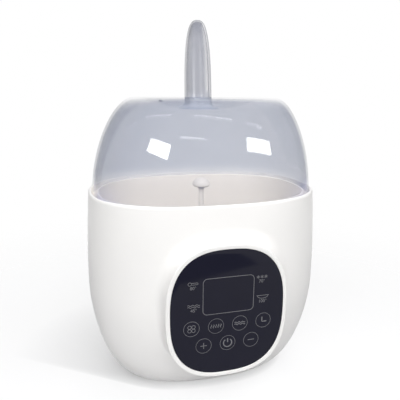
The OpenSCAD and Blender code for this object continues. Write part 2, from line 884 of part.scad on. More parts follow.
module base_screws() {
    head_room = 0.2;
    color("gray") on_axis() at_corners(screw_span_x, screw_span_y)
        translate([0, 0, cover_bottom + head_height + head_room]) screw_up(base_screw_length);
}

module cord_gland() {
    barb_top = -gland_grip - fit_clearance;
    color("lightgray") on_axis() gland_axis(gland_seat) difference() {
        union() {
            cylinder(d = gland_collar, h = gland_flange);
            translate([0, 0, gland_inner_end]) cylinder(r = gland_neck, h = -gland_inner_end);
            translate([0, 0, barb_top - gland_barb]) cylinder(d = gland_collar, h = gland_barb);
        }
        translate([0, 0, -gland_length]) cylinder(d = gland_bore, h = 2 * gland_length);
    }
}

module bottle_basket() {
    slot_margin = 8;
    slot_bottom = basket_floor_top + slot_margin;
    slot_height = well_height - 2 * slot_margin;
    slot_depth = 8;
    foot_place = well_outer * 0.72;
    drain_place = well_diameter / 4;
    color("snow") on_axis() difference() {
        union() {
            for (side = [-1, 1]) translate([side * well_spacing / 2, 0, basket_under]) {
                difference() {
                    cylinder(r = well_outer, h = basket_floor + well_height);
                    translate([0, 0, basket_floor]) cylinder(d = well_diameter, h = well_height + cut);
                }
                for (y = [-1, 1]) translate([0, y * foot_place, -basket_foot_height])
                    cylinder(d = basket_foot_diameter, h = basket_foot_height + sink);
            }
            translate([0, 0, basket_under]) cylinder(r = hub_radius, h = basket_floor + hub_height);
        }
        translate([0, 0, stem_seat]) cylinder(d = stem_diameter + 2 * fit_clearance, h = hub_height + cut);
        for (side = [-1, 1]) translate([side * well_spacing / 2, 0, 0]) {
            for (k = [0 : drain_slots - 1]) rotate((side > 0 ? 0 : 180) + 180 / drain_slots + 360 * k / drain_slots)
                translate([well_outer - slot_depth / 2, -drain_slot / 2, slot_bottom])
                    cube([slot_depth, drain_slot, slot_height]);
            for (k = [0 : 5]) rotate(60 * k) translate([drain_place, 0, basket_under - cut])
                cylinder(d = drain_slot, h = basket_floor + 2 * cut);
            translate([0, 0, basket_under - cut]) cylinder(d = 2 * drain_slot, h = basket_floor + 2 * cut);
        }
    }
}

module basket_stem() {
    color("snow") on_axis() translate([0, 0, stem_seat])
        cylinder(d = stem_diameter, h = stem_top - stem_seat);
}

module stem_knob() {
    edge = 1.5;
    neck_wall = 0.9;
    neck_radius = stem_diameter / 2 + neck_wall;
    cap_radius = knob_diameter / 2;
    cap_bevel = 1;
    crown = [for (a = [0 : 15 : 90])
        [cap_radius * cos(a), knob_cap_under + edge + (knob_cap - edge) * sin(a)]];
    color("snow") on_axis() difference() {
        rotate_extrude() polygon(concat(
            [[0, knob_under], [neck_radius, knob_under]],
            [[neck_radius, knob_cap_under], [cap_radius - cap_bevel, knob_cap_under]],
            crown
        ));
        translate([0, 0, knob_under - cut])
            cylinder(d = stem_diameter + 2 * fit_clearance, h = stem_top - knob_under + cut + fit_clearance);
    }
}

// Stations of the lid from its lower edge to the grip's tip: half-width, half-depth, setback, height
// and squareness. The inner face has the same stations, drawn in by the wall.
function lid_stations(off) =
    let (
        edge_x = rim_half_x - lid_inset,
        edge_y = rim_half_y - lid_inset,
        top_x = lid_top_width / 2,
        top_y = lid_top_depth / 2,
        foot_x = grip_thickness / 2,
        foot_y = grip_length / 2,
        valley = lid_top_height - lid_dish - off,
        grip_start = valley + grip_fillet,
        grip_end = grip_top_height - off,
        grip_taper = 0.03,
        dome_steps = 11,
        plateau_steps = 6,
        grip_steps = 10,
        tip_angle = 87
    )
    concat(
        [[edge_x - off, edge_y - off, 0, lid_bottom, plan_squareness]],
        [for (k = [0 : dome_steps])
            let (
                rise = sin(90 * k / dome_steps),
                spread = pow(max(0, 1 - pow(rise, lid_fullness)), 1 / lid_fullness)
            )
            [top_x + (edge_x - top_x) * spread - off, top_y + (edge_y - top_y) * spread - off,
                -lid_lean * (1 - spread), dome_start + (lid_top_height - off - dome_start) * rise,
                plan_squareness]],
        [for (k = [1 : plateau_steps - 1])
            let (u = k / plateau_steps)
            [top_x + (foot_x + grip_fillet - top_x) * u - off, top_y + (foot_y + grip_fillet - top_y) * u - off,
                (grip_setback + lid_lean) * u - lid_lean,
                lid_top_height - off - lid_dish * (1 - cos(180 * u)) / 2,
                plan_squareness + (grip_squareness - plan_squareness) * u]],
        [for (a = [0 : 30 : 90])
            [foot_x + grip_fillet * (1 - sin(a)) - off, foot_y + grip_fillet * (1 - sin(a)) - off,
                grip_setback, valley + grip_fillet * (1 - cos(a)), grip_squareness]],
        [for (k = [1 : grip_steps])
            let (
                rise = sin(tip_angle * k / grip_steps),
                spread = (1 - grip_taper * rise) * pow(1 - pow(rise, grip_fullness), 1 / grip_fullness)
            )
            [(foot_x - off) * spread, (foot_y - off) * spread, grip_setback + grip_rake * rise,
                grip_start + (grip_end - grip_start) * rise, grip_squareness]]
    );

function lid_rings(off) = [for (s = lid_stations(off)) ring(s[0], s[1], s[3], s[2], s[4])];

module lid() {
    vent_x = -lid_top_width * 0.34;
    vent_y = -lid_top_depth * 0.25;
    vent_reach = lid_dish + lid_wall + cut;
    color([0.75, 0.78, 0.83, 0.6]) on_axis() difference() {
        loft(concat(reversed(lid_rings(lid_wall)), lid_rings(0)));
        translate([vent_x, vent_y, lid_top_height - vent_reach])
            cylinder(d = vent_diameter, h = vent_reach + cut);
    }
}

outer_housing();
panel_lens();
display_module();
control_board();
touch_pads();
buzzer();
board_screws();
inner_tank();
heating_plate();
plate_seal();
plate_clamp();
clamp_screws();
heating_element();
thermostat();
thermostat_strap();
thermal_fuse();
temperature_sensor();
power_board();
power_relay();
power_transformer();
filter_capacitor();
power_screws();
heater_leads();
panel_ribbon();
base_cover();
rubber_feet();
base_screws();
cord_gland();
bottle_basket();
basket_stem();
stem_knob();
lid();
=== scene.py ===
"""Looks of a two-bottle warmer and steam sterilizer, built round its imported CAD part.

Laid out as an add-on and run as a script. Lengths are metres, +Z is up and the panel faces -Y.
"""

import json
import math

import bmesh
import bpy
import numpy as np
from bpy.props import FloatProperty, FloatVectorProperty, PointerProperty
from mathutils import Matrix, Vector


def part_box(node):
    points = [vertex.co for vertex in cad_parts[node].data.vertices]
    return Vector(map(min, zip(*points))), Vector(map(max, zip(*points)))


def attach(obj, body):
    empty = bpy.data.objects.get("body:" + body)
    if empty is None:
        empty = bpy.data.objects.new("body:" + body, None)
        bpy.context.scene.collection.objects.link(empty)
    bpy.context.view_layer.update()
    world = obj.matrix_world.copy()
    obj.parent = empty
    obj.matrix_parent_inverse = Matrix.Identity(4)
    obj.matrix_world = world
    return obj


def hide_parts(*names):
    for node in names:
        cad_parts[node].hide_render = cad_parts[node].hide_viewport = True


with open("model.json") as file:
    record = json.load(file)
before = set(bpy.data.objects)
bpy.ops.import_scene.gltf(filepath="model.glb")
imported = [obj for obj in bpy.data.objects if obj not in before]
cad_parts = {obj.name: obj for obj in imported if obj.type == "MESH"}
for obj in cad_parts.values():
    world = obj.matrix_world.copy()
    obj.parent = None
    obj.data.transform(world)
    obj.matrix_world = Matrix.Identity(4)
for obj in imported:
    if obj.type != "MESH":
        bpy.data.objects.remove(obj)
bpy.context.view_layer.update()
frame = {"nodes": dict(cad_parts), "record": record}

bl_info = {
    "name": "Bottle Warmer Looks",
    "version": (1, 0, 0),
    "blender": (4, 5, 0),
    "location": "View3D > Sidebar > Warmer",
    "description": "Smooth shells, panel print, finishes and a studio for a two-bottle warmer",
    "category": "Object",
}

MM = 0.001
TAU = 2 * math.pi
# Numbers of faces across one half of the pot, up its side, and round the lid, tank and lens
HALF_COLUMNS = 128
SIDE_ROWS = 72
ROUND_COLUMNS = 256
# Number of points across a rounded corner or edge
CORNER_ROWS = 9
# Edges that turn by more than this stay sharp
SHARP = math.radians(38)

# Marks beside the display: kind, number and place on the panel in millimetres
LABELS = (
    ("thermometer", "80°", -32.3, 28.3), ("waves", "45°", -31.7, 7.4),
    ("flakes", "70°", 30.8, 28.6), ("bowl", "100°", 32.2, 9.2))
# Half the distance between a mark and its number, and the number's height, in millimetres
LABEL_GAP = 2.1
NUMBER_HEIGHT = 4.2
# Keys: kind, place in key pitches and drop below the panel's centre in millimetres
KEYS = (
    ("menu", -1.5, 12), ("heat", -0.5, 12), ("steam", 0.5, 12), ("clock", 1.5, 12),
    ("plus", -1, 30), ("power", 0, 30), ("minus", 1, 30))
# Widths of the display frame's line and of the key rings, in printed lines
FRAME_LINE = 1.1
RING_LINE = 0.7
# How far lens, lines and numbers lie behind the panel's front, and how thick the print is, in millimetres
LENS_RECESS = 0.15
LINE_RECESS = 0.04
LINE_THICKNESS = 0.12
NUMBER_RECESS = 0.1
NUMBER_HALF_THICKNESS = 0.06

# Spans over which the lid's finish and its painted light change, in millimetres from the place in the name
FOOT_FROM_GRIP_AXIS = (19, 23)
FOOT_FROM_TOP = (-2.5, 1.5)
RIGHT_OF_MIDDLE = (0, 4)
# The pale band spans place a band of painted light low on the rear wall, over the shaded gap by the tank's
# far edge
PALE_BAND_FROM_BOTTOM = (17, 3)
COOL_FROM_BOTTOM = (24, 10)
COOL_FROM_MIDDLE = (66, 92)
# How far left of the lid's middle the cool ends have theirs, in millimetres
COOL_SHIFT = 12
# Such spans in half-depths of the lid
PALE_BAND_DEPTH = (-0.4, 0.4)
COOL_DEPTH = (0.1, -0.3)
# Such spans in parts of a face's normal: how level it is, how far it faces forwards, how far to the right
# The level span also marks where the top is drawn clearer, as painted light from above
LEVEL_FACE = (0.55, 0.95)
FRONT_FACE = (-0.15, -0.45)
# The corner and flank spans mark the grip's right corner and flank, drawn clearer as a painted highlight
CORNER_BEGINS = (0.1, 0.24)
CORNER_ENDS = (0.36, 0.54)
EDGE_FACE = (0.46, 0.62)
FLANK_FROM_INSIDE = (-0.8, -0.95)
# Depth of the shade under the knob's cap, and of its soft end, in millimetres
NECK_SHADE = 2
NECK_FADE = 0.4

# Floor: radius, where it fades out, and where its shadow side begins, as a direction and spans in millimetres
FLOOR_RADIUS = 1.6
FLOOR_FADE = (0.22, 0.62)
SHADOW_WAY = (0.48, 0.87, 0.0)
SHADOW_BEHIND = (-78, -52)
SHADOW_LEFT = (-30, -85)
# Softboxes: name, place, what they face on the dome, width, height, tilt in degrees, brightness setting
SOFTBOXES = (
    ("left_softbox", (-0.513, -0.763, 0.407), (-0.0556, -0.0662, 0.2405), 0.41, 0.105, -15, "left_level"),
    ("right_softbox", (0.576, -0.719, 0.327), (0.0308, -0.0723, 0.2414), 0.334, 0.087, -4, "right_level"))
# Wide lamps: name, place, side length and brightness setting. All face the object's middle.
WIDE_LAMPS = (
    ("left_side", (-0.9, -0.5, 1.0), 0.7, "side_level"),
    ("high_left", (-0.6, -0.95, 1.0), 0.7, "high_level"),
    ("high_front", (-0.1, -1.2, 1.1), 0.8, "front_level"),
    ("overhead", (0.5, -0.5, 1.2), 0.9, "overhead_level"),
    ("rear_fill", (0.15, 1.1, 0.75), 0.8, "rear_level"))
OBJECT_MIDDLE = (0, 0, 0.15)
# Thin tubes whose mirror images are the fine arcs on the dome: both ends, thickness and what they face
TUBES = (
    ((-1.156, 0.044, 0.773), (-1.082, -0.166, 0.898)),
    ((-1.008, -0.342, 0.949), (-0.532, -0.971, 0.883)),
    ((-0.083, -1.158, 0.765), (0.438, -1.131, 0.626)),
    ((0.623, -1.054, 0.591), (0.881, -0.875, 0.529)),
    ((-0.283, -1.214, 0.518), (0.179, -1.243, 0.433)))
TUBE_THICKNESS = 8 * MM
DOME_MIDDLE = (0, 0, 0.26)


def length(name, default, description):
    """A length property, given in millimetres and held in metres."""
    return FloatProperty(name=name, default=default * MM, description=description, unit="LENGTH", precision=5)


def degrees(name, default, description):
    """An angle property, given in degrees and held in radians."""
    return FloatProperty(name=name, default=math.radians(default), description=description, subtype="ANGLE")


def share(name, default, description):
    """A plain number."""
    return FloatProperty(name=name, default=default, description=description, precision=4)


def colour(name, default, description):
    """A scene-linear colour."""
    return FloatVectorProperty(
        name=name, default=default, description=description, subtype="COLOR", size=3, min=0.0, max=1.0)


class PotSettings(bpy.types.PropertyGroup):
    """Sizes and colour of the white pot."""

    width: length("Width", 235, "Width at the widest level")
    depth: length("Depth", 176, "Depth at the widest level, without the panel")
    base_width: length("Base Width", 156, "Width of the flat bottom")
    base_depth: length("Base Depth", 104, "Depth of the flat bottom")
    edge: length("Lower Edge", 3, "Height of the lower edge")
    belly: length("Belly", 101, "Height of the widest level")
    rim: length("Rim", 192, "Height of the rim")
    draw: length("Rim Draw", 3.9, "How far the rim draws in")
    fullness: share("Belly Fullness", 1.8, "Fullness of the lower curve")
    squareness: share("Squareness", 2.45, "Squareness of the plan outline")
    wall: length("Wall", 2.6, "Thickness of the wall")
    lip: length("Lip", 2.6, "Width of the lip")
    lip_radius: length("Lip Radius", 1.5, "Rounding of the lip's outer edge")
    lip_chamfer: length("Lip Chamfer", 0.5, "Chamfer of the lip's inner edge")
    ledge: length("Ledge", 183.5, "Height of the ledge that carries the tank")
    ledge_inset: length("Ledge Inset", 8.1, "Reach of the ledge inwards from the rim")
    ledge_thickness: length("Ledge Thickness", 2.4, "Thickness of the ledge")
    gland_height: length("Gland Height", 27, "Height of the cord gland's axis")
    gland_seat: length("Gland Seat", 68, "Depth of the gland's seat behind the pot's axis")
    gland_pocket: length("Gland Pocket", 8.5, "Radius of the pocket round the gland's collar")
    gland_neck: length("Gland Neck", 6.1, "Radius of the hole for the gland's neck")
    gland_pad: length("Gland Pad", 11, "Radius of the pad inside the wall")
    gland_grip: length("Gland Grip", 3, "Thickness of the pad that the gland grips")
    tint: colour("Tint", (0.86, 0.85, 0.835), "Colour of the glossy white moulding")


class PanelSettings(bpy.types.PropertyGroup):
    """Sizes and colours of the control panel."""

    lens_width: length("Lens Width", 105, "Width of the dark lens")
    lens_height: length("Lens Height", 118, "Height of the dark lens")
    squareness: share("Squareness", 2.65, "Squareness of the lens outline")
    height: length("Height", 97, "Height of the panel's centre")
    proud: length("Proud", 7, "How far the panel stands out from the pot")
    thickness: length("Lens Thickness", 2, "Thickness of the lens")
    bezel: length("Bezel", 4.1, "Width of the white rim round the lens")
    bezel_radius: length("Bezel Radius", 0.9, "Rounding of the bezel's outer edge")
    flare: length("Flare", 13, "Spread of the fillet at the top of the boss")
    least_flare: length("Least Flare", 1.5, "Spread of the fillet at the bottom of the boss")
    display_width: length("Display Width", 46.8, "Width of the printed display frame")
    display_height: length("Display Height", 33.8, "Height of the printed display frame")
    display_rise: length("Display Rise", 16.8, "Rise of the display above the panel's centre")
    key_pitch: length("Key Pitch", 22.4, "Distance between keys in a row")
    key_radius: length("Key Radius", 7.1, "Radius of a printed key ring")
    line: length("Line", 0.42, "Width of a printed line")
    lens_tint: colour("Lens Tint", (0.008, 0.008, 0.018), "Colour of the lens")
    print_tint: colour("Print Tint", (0.16, 0.16, 0.17), "Colour of the printed marks")


class LidSettings(bpy.types.PropertyGroup):
    """Sizes, colours and clarity of the translucent lid."""

    bottom: length("Bottom", 185.8, "Height of the lower edge")
    skirt: length("Skirt", 2.4, "Upright skirt below the dome")
    edge_x: length("Edge Half Width", 110.2, "Half-width at the lower edge")
    edge_y: length("Edge Half Depth", 80.7, "Half-depth at the lower edge")
    top: length("Shoulder Height", 281, "Height of the shoulders")
    top_width: length("Top Width", 138, "Width of the flat top")
    top_depth: length("Top Depth", 124, "Depth of the flat top")
    fullness: share("Fullness", 1.7, "Fullness of the dome")
    lean: length("Lean", 6, "How far the top leans forwards")
    wall: length("Wall", 1.8, "Thickness of the wall")
    dish: length("Dish", 9.5, "Dish of the top between the shoulders")
    grip_top: length("Grip Top", 355.85, "Height of the grip's tip")
    grip_length: length("Grip Length", 30, "Length of the grip from front to back")
    grip_thickness: length("Grip Thickness", 25, "Thickness of the grip")
    grip_setback: length("Grip Setback", 16, "How far the grip sits behind the lid's middle")
    grip_rake: length("Grip Rake", 6.5, "How far the grip's tip leans back")
    grip_fullness: share("Grip Fullness", 3, "Fullness of the grip's arch")
    grip_squareness: share("Grip Squareness", 3.6, "Squareness of the grip's plan outline")
    grip_taper: share("Grip Taper", 0.03, "Narrowing of the grip towards its tip")
    grip_fillet: length("Grip Fillet", 5, "Fillet between the grip and the lid")
    vent: length("Vent", 3, "Diameter of the steam vent")
    tint: colour("Tint", (0.12, 0.16, 0.28), "Colour of the translucent moulding")
    cover: share("Cover", 0.206, "Share of light that one face of the lid holds back, seen face on")
    edge_cover: share("Edge Cover", 0.34, "Share of light that one face of the dome holds back, seen edge on")
    grip_cover: share(
        "Grip Edge Cover", 0.2, "Share of light that one face of the grip holds back, seen edge on")
    grip_density: share("Grip Density", 1.5, "How much more light the grip holds back than the dome")
    foot_tint: colour("Grip Foot Tint", (0.42, 0.44, 0.49), "Colour of the thick milky foot of the grip")
    # Painted shade and light: the lid is drawn denser and darker at its left and clearer at its right, as if
    # lit from the right
    left_shade_drift: share("Drift", 0.08, "How much denser the lid is at its left side, and clearer at its right")
    # Painted light: the level top is drawn clearer and so lighter, as if lit from above
    top_light_density: share(
        "Flat Density", 0.15, "How much of that light the level top holds back, lit from above")
    grip_roughness: share(
        "Grip Roughness", 0.4, "Roughness of the grip, which is less polished than the dome")
    # Painted highlight: the grip's right front corner and flank are drawn clearer and so paler
    corner_highlight_cover: share(
        "Clear Edge", 0.42, "How much of that light the grip's right front corner and flank hold back")
    outline: share("Grip Outline", 1.8, "How much more light the grip's right edge holds back")
    tip_density: share("Grip Tip Density", 1.3, "How much more light the grip's tip holds back")
    grip_tint: colour("Grip Tint", (0.13, 0.14, 0.19), "Colour of the grip")
    # Painted light: a pale cream band low on the rear wall, over the shaded gap by the tank's far edge
    pale_band_tint: colour("Haze Tint", (0.85, 0.83, 0.82), "Colour of the milky band low on the rear wall")
    cool_tint: colour("Cool Tint", (0.15, 0.19, 0.42), "Colour of the front wall low at the ends")
    index: share("Index", 1.75, "Index of refraction, which sets the gloss")


class TankSettings(bpy.types.PropertyGroup):
    """Sizes and colour of the inner tank, and colours of the stem and its knob."""

    floor: length("Floor", 58, "Height of the floor")
    floor_thickness: length("Floor Thickness", 3, "Thickness of the floor")
    wall: length("Wall", 2, "Thickness of the wall")
    draft: degrees("Draft", 1.2, "Draft angle of the wall")
    corner: length("Corner", 12, "Rounding between floor and wall")
    outer_inset: length("Outer Inset", 8.4, "Inset of the outer face from the rim's outer face")
    top: length("Top", 190, "Height of the upper edge")
    flange_top: length("Flange Top", 185.5, "Height of the flange's upper face")
    flange_inset: length("Flange Inset", 2.9, "Inset of the flange's edge from the rim's outer face")
    opening: length("Plate Opening", 40, "Radius of the opening for the heating plate")
    edge: length("Edge", 0.8, "Rounding of the upper edge")
    tint: colour("Tint", (0.97, 0.91, 0.835), "Colour of the cream moulding")
    knob_tint: colour("Knob Tint", (0.94, 0.885, 0.82), "Colour of the stem and its knob")
    neck_tint: colour("Neck Tint", (0.5, 0.46, 0.46), "Colour of the shaded neck under the knob")


class StudioSettings(bpy.types.PropertyGroup):
    """Camera, lamps and floor."""

    camera_x: length("Camera X", -118.55, "Camera place")
    camera_y: length("Camera Y", -429.62, "Camera place")
    camera_z: length("Camera Z", 286.67, "Camera place")
    forward: FloatVectorProperty(
        name="Forward", default=(0.25399, 0.93755, -0.23769), description="Direction of view",
        subtype="DIRECTION")
    roll: degrees("Roll", 0.5, "Roll of the camera")
    lens: FloatProperty(
        name="Lens", default=39.844, description="Focal length on a 36 mm sensor", unit="CAMERA", precision=3)
    world_light: share("World Light", 0.081, "Strength of the world's light on the object")
    left_level: share("Left Softbox", 21.0, "Brightness of the left softbox's face")
    right_level: share("Right Softbox", 18.0, "Brightness of the right softbox's face")
    side_level: share("Left Side", 2.5, "Brightness of the wide lamp at the left")
    high_level: share("High Left", 4.7, "Brightness of the wide lamp high in the left front")
    front_level: share("High Front", 5.0, "Brightness of the wide lamp high in front")
    overhead_level: share("Overhead", 3.5, "Brightness of the wide lamp above the right")
    rear_level: share("Rear Fill", 3.0, "Brightness of the wide lamp behind the object")
    tube_level: share("Tubes", 9.0, "Brightness of the thin tubes, which only gloss shows")
    floor_tint: colour("Floor Tint", (0.62, 0.62, 0.63), "Colour of the pale floor")
    floor_glow: share("Floor Glow", 1.18, "White that the camera sees on the floor besides its own light")
    floor_glow_share: share("Floor Glow Share", 0.62, "Share of that white")
    contact: length("Contact Shadow", 8, "Reach of the soft shadow before the foot")
    far_contact: length("Far Contact Shadow", 110, "Reach of that shadow on the side away from the lamps")
    contact_glow: share("Contact Glow", 0.78, "White that is left where the near shadow is deepest")
    far_glow: share("Far Contact Glow", 0.4, "White that is left where the far shadow is deepest")
    card_level: share(
        "Card Level", 0.5, "Brightness of the dark card behind the object, which only gloss shows")


def axis_y():
    """The pot's axis lies behind the middle of the box by half of what the panel stands out."""
    return bpy.context.scene.warmer_panel.proud / 2


def grid_quads(rows, columns, closed, first):
    """Vertex numbers of the quads of a grid, row by row, joined round the columns if it is closed."""
    across = columns if closed else columns - 1
    row, column = np.meshgrid(np.arange(rows - 1), np.arange(across), indexing="ij")
    after = (column + 1) % columns
    low = row * columns
    high = low + columns
    return first + np.stack([low + column, low + after, high + after, high + column], -1).reshape(-1, 4)


def mesh_of(name, grids):
    """One mesh from several grids of points: each grid is rows by columns by 3, with a flag for closed rows.

    Shared edges of neighbouring grids are merged, poles become triangles and faces turn outwards.
    """
    points = []
    quads = []
    first = 0
    for grid, closed in grids:
        rows, columns = grid.shape[:2]
        points.append(grid.reshape(-1, 3))
        quads.append(grid_quads(rows, columns, closed, first))
        first += rows * columns
    points = np.concatenate(points)
    quads = np.concatenate(quads)
    mesh = bpy.data.meshes.new(name)
    mesh.vertices.add(len(points))
    mesh.vertices.foreach_set("co", points.astype(np.float32).ravel())
    mesh.loops.add(quads.size)
    mesh.loops.foreach_set("vertex_index", quads.astype(np.int32).ravel())
    mesh.polygons.add(len(quads))
    mesh.polygons.foreach_set("loop_start", np.arange(0, quads.size, 4, dtype=np.int32))
    mesh.update(calc_edges=True)
    tidy_mesh(mesh)
    return mesh


def tidy_mesh(mesh):
    """Merges doubles, removes collapsed faces, turns faces outwards and shades the curves smoothly."""
    work = bmesh.new()
    work.from_mesh(mesh)
    doubles_within = 2e-6
    collapsed_below = 1e-7
    bmesh.ops.remove_doubles(work, verts=work.verts, dist=doubles_within)
    bmesh.ops.dissolve_degenerate(work, edges=work.edges, dist=collapsed_below)
    bmesh.ops.recalc_face_normals(work, faces=work.faces)
    work.to_mesh(mesh)
    work.free()
    mesh.shade_smooth()
    mesh.set_sharp_from_angle(angle=SHARP)


def place(name, mesh, body, material, stands_for=()):
    """Puts a mesh into the scene as a piece that rides on a body and may stand for CAD nodes."""
    piece = bpy.data.objects.new(name, mesh)
    bpy.context.scene.collection.objects.link(piece)
    mesh.materials.clear()
    mesh.materials.append(material)
    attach(piece, body)
    if stands_for:
        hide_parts(*stands_for)
    return piece


def superellipse(angle, half_x, half_y, squareness):
    """Distance from the centre to a superellipse in the direction of an angle."""
    across = np.abs(np.cos(angle)) / half_x
    along = np.abs(np.sin(angle)) / half_y
    return (across ** squareness + along ** squareness) ** (-1 / squareness)


def level_ring(angle, half_x, half_y, z, squareness, shift=0.0):
    """A level superellipse outline round the pot's axis, moved back by shift."""
    radius = superellipse(angle, half_x, half_y, squareness)
    x = radius * np.cos(angle)
    y = axis_y() + shift + radius * np.sin(angle)
    return np.stack([x, y, np.broadcast_to(z, x.shape)], -1)


def pot_halves(z, inset, bottom):
    """Half-width and half-depth of the pot at heights z.

    Below the widest level the spread is (1 - (1 - t)^p)^(1/p), above it the wall draws in as a square.
    """
    pot = bpy.context.scene.warmer_pot
    t = np.clip((z - bottom) / (pot.belly - bottom), 0, 1)
    spread = (1 - (1 - t) ** pot.fullness) ** (1 / pot.fullness)
    drawn = pot.draw * np.clip((z - pot.belly) / (pot.rim - pot.belly), 0, 1) ** 2
    half_x = pot.base_width / 2 + (pot.width - pot.base_width) / 2 * spread - drawn - inset
    half_y = pot.base_depth / 2 + (pot.depth - pot.base_depth) / 2 * spread - drawn - inset
    return half_x, half_y


def pot_skin(angle, z, inset, bottom):
    """Points of the pot's wall at plan angles and heights."""
    pot = bpy.context.scene.warmer_pot
    half_x, half_y = pot_halves(z, inset, bottom)
    radius = superellipse(angle, half_x, half_y, pot.squareness)
    return np.stack([radius * np.cos(angle), axis_y() + radius * np.sin(angle), z + 0 * radius], -1)


def pot_depth(x, z, inset, bottom):
    """Depth of the pot's wall in front of or behind its axis, at x and z."""
    pot = bpy.context.scene.warmer_pot
    half_x, half_y = pot_halves(z, inset, bottom)
    return half_y * (1 - (np.abs(x) / half_x) ** pot.squareness) ** (1 / pot.squareness)


def climb_to_height(climb, bottom, top):
    """Height at a climb from 0 to 2: crowded at the bottom up to 1, the widest level, and even above it."""
    pot = bpy.context.scene.warmer_pot
    lower = bottom + (pot.belly - bottom) * (1 - np.cos(np.clip(climb, 0, 1) * math.pi / 2))
    return lower + (top - pot.belly) * np.clip(climb - 1, 0, 1)


def height_to_climb(z, bottom, top):
    """The climb that gives a height, the other way round."""
    pot = bpy.context.scene.warmer_pot
    lower = np.arccos(np.clip(1 - (z - bottom) / (pot.belly - bottom), 0, 1)) / (math.pi / 2)
    return lower + np.clip((z - pot.belly) / (top - pot.belly), 0, 1)


def half_frame():
    """Closed loop round one half of the pot's wall, as sideways steps from -1 to 1 and climbs from 0 to 2.

    It runs along the bottom, up one side, back along the top and down the other side.
    """
    across = np.linspace(-1, 1, HALF_COLUMNS + 1)
    up = np.linspace(0, 2, SIDE_ROWS + 1)
    step = np.concatenate([across[:-1], np.full(SIDE_ROWS, 1.0), across[:0:-1], np.full(SIDE_ROWS, -1.0)])
    climb = np.concatenate([np.zeros(HALF_COLUMNS), up[:-1], np.full(HALF_COLUMNS, 2.0), up[:0:-1]])
    return step, climb


def step_to_angle(step, side):
    """Plan angle of a sideways step, where side -1 is the front half and 1 the rear half."""
    return side * (math.pi / 2 - step * math.pi / 2)


def half_shell(side, outline, centre_z, inset, bottom, top):
    """One half of the pot's wall round a hole: straight lines in angle and climb from its frame to the hole.

    outline gives the hole's x, and its z above the centre, at angles round it.
    Returns the grid and those angles.
    """
    rows = 30
    crowding = 1.6
    step, climb = half_frame()
    centre_climb = height_to_climb(np.array(centre_z), bottom, top)
    turn = np.arctan2(climb - centre_climb, step)
    x, rise = outline(turn)
    z = centre_z + rise
    depth = pot_depth(x, z, inset, bottom)
    hole_step = (math.pi / 2 - np.arctan2(depth, x)) / (math.pi / 2)
    hole_climb = height_to_climb(z, bottom, top)
    grow = (np.linspace(1, 0, rows) ** crowding)[:, None]
    grid_step = hole_step + (step - hole_step) * grow
    grid_climb = hole_climb + (climb - hole_climb) * grow
    height = climb_to_height(grid_climb, bottom, top)
    return pot_skin(step_to_angle(grid_step, side), height, inset, bottom), turn


def panel_front():
    """How far the panel's front lies before the pot's axis."""
    return bpy.context.scene.warmer_pot.depth / 2 + bpy.context.scene.warmer_panel.proud


def panel_outline(turn, grow):
    """The panel's superellipse outline, grown all round: x, and z above the panel's centre."""
    panel = bpy.context.scene.warmer_panel
    radius = superellipse(turn, panel.lens_width / 2 + grow, panel.lens_height / 2 + grow, panel.squareness)
    return radius * np.cos(turn), radius * np.sin(turn)


def on_panel(x, z, forward):
    """Points at x and z from the panel's centre, at a depth forward of the pot's axis."""
    return np.stack([x, axis_y() - forward + 0 * x, bpy.context.scene.warmer_panel.height + z], -1)


def panel_loop(turn, grow, forward):
    """The panel's outline, grown, as points at a depth forward of the pot's axis."""
    return on_panel(*panel_outline(turn, grow), forward)


def flare_at(turn):
    """Spread of the boss's fillet: widest at the top, least at the bottom."""
    panel = bpy.context.scene.warmer_panel
    return panel.least_flare + (panel.flare - panel.least_flare) * (1 + np.sin(turn)) / 2


def boss_grid(turn, window):
    """Rows from the pot's wall over the fillet and the bezel into the lens pocket and its window.

    The fillet is a parabola: it leaves the pot along its wall and ends square to the panel at the shoulder.
    """
    pot = bpy.context.scene.warmer_pot
    panel = bpy.context.scene.warmer_panel
    front = panel_front()
    radius = panel.bezel_radius
    inner = 0.35 * MM
    gap = 0.12 * MM
    fillet_rows = 15
    pocket_rows = 5

    def on_wall(grow):
        """The panel's outline, grown, where it meets the pot's wall."""
        x, z = panel_outline(turn, grow)
        return on_panel(x, z, pot_depth(x, panel.height + z, 0, pot.edge))

    foot = on_wall(panel.bezel + flare_at(turn))
    behind = on_wall(panel.bezel)
    shoulder = panel_loop(turn, panel.bezel, front - radius)
    rows = []
    for t in np.linspace(0, 1, fillet_rows):
        rows.append((1 - t) ** 2 * foot + 2 * t * (1 - t) * behind + t ** 2 * shoulder)
    for a in np.linspace(0, math.pi / 2, CORNER_ROWS)[1:]:
        drawn_in = panel.bezel - radius * (1 - math.cos(a))
        rows.append(panel_loop(turn, drawn_in, front - radius * (1 - math.sin(a))))
    for a in np.linspace(0, math.pi / 2, pocket_rows):
        rows.append(panel_loop(turn, gap + inner * (1 - math.sin(a)), front - inner * (1 - math.cos(a))))
    for reach in (gap, window):
        rows.append(panel_loop(turn, reach, front - panel.thickness))
    return np.stack(rows)


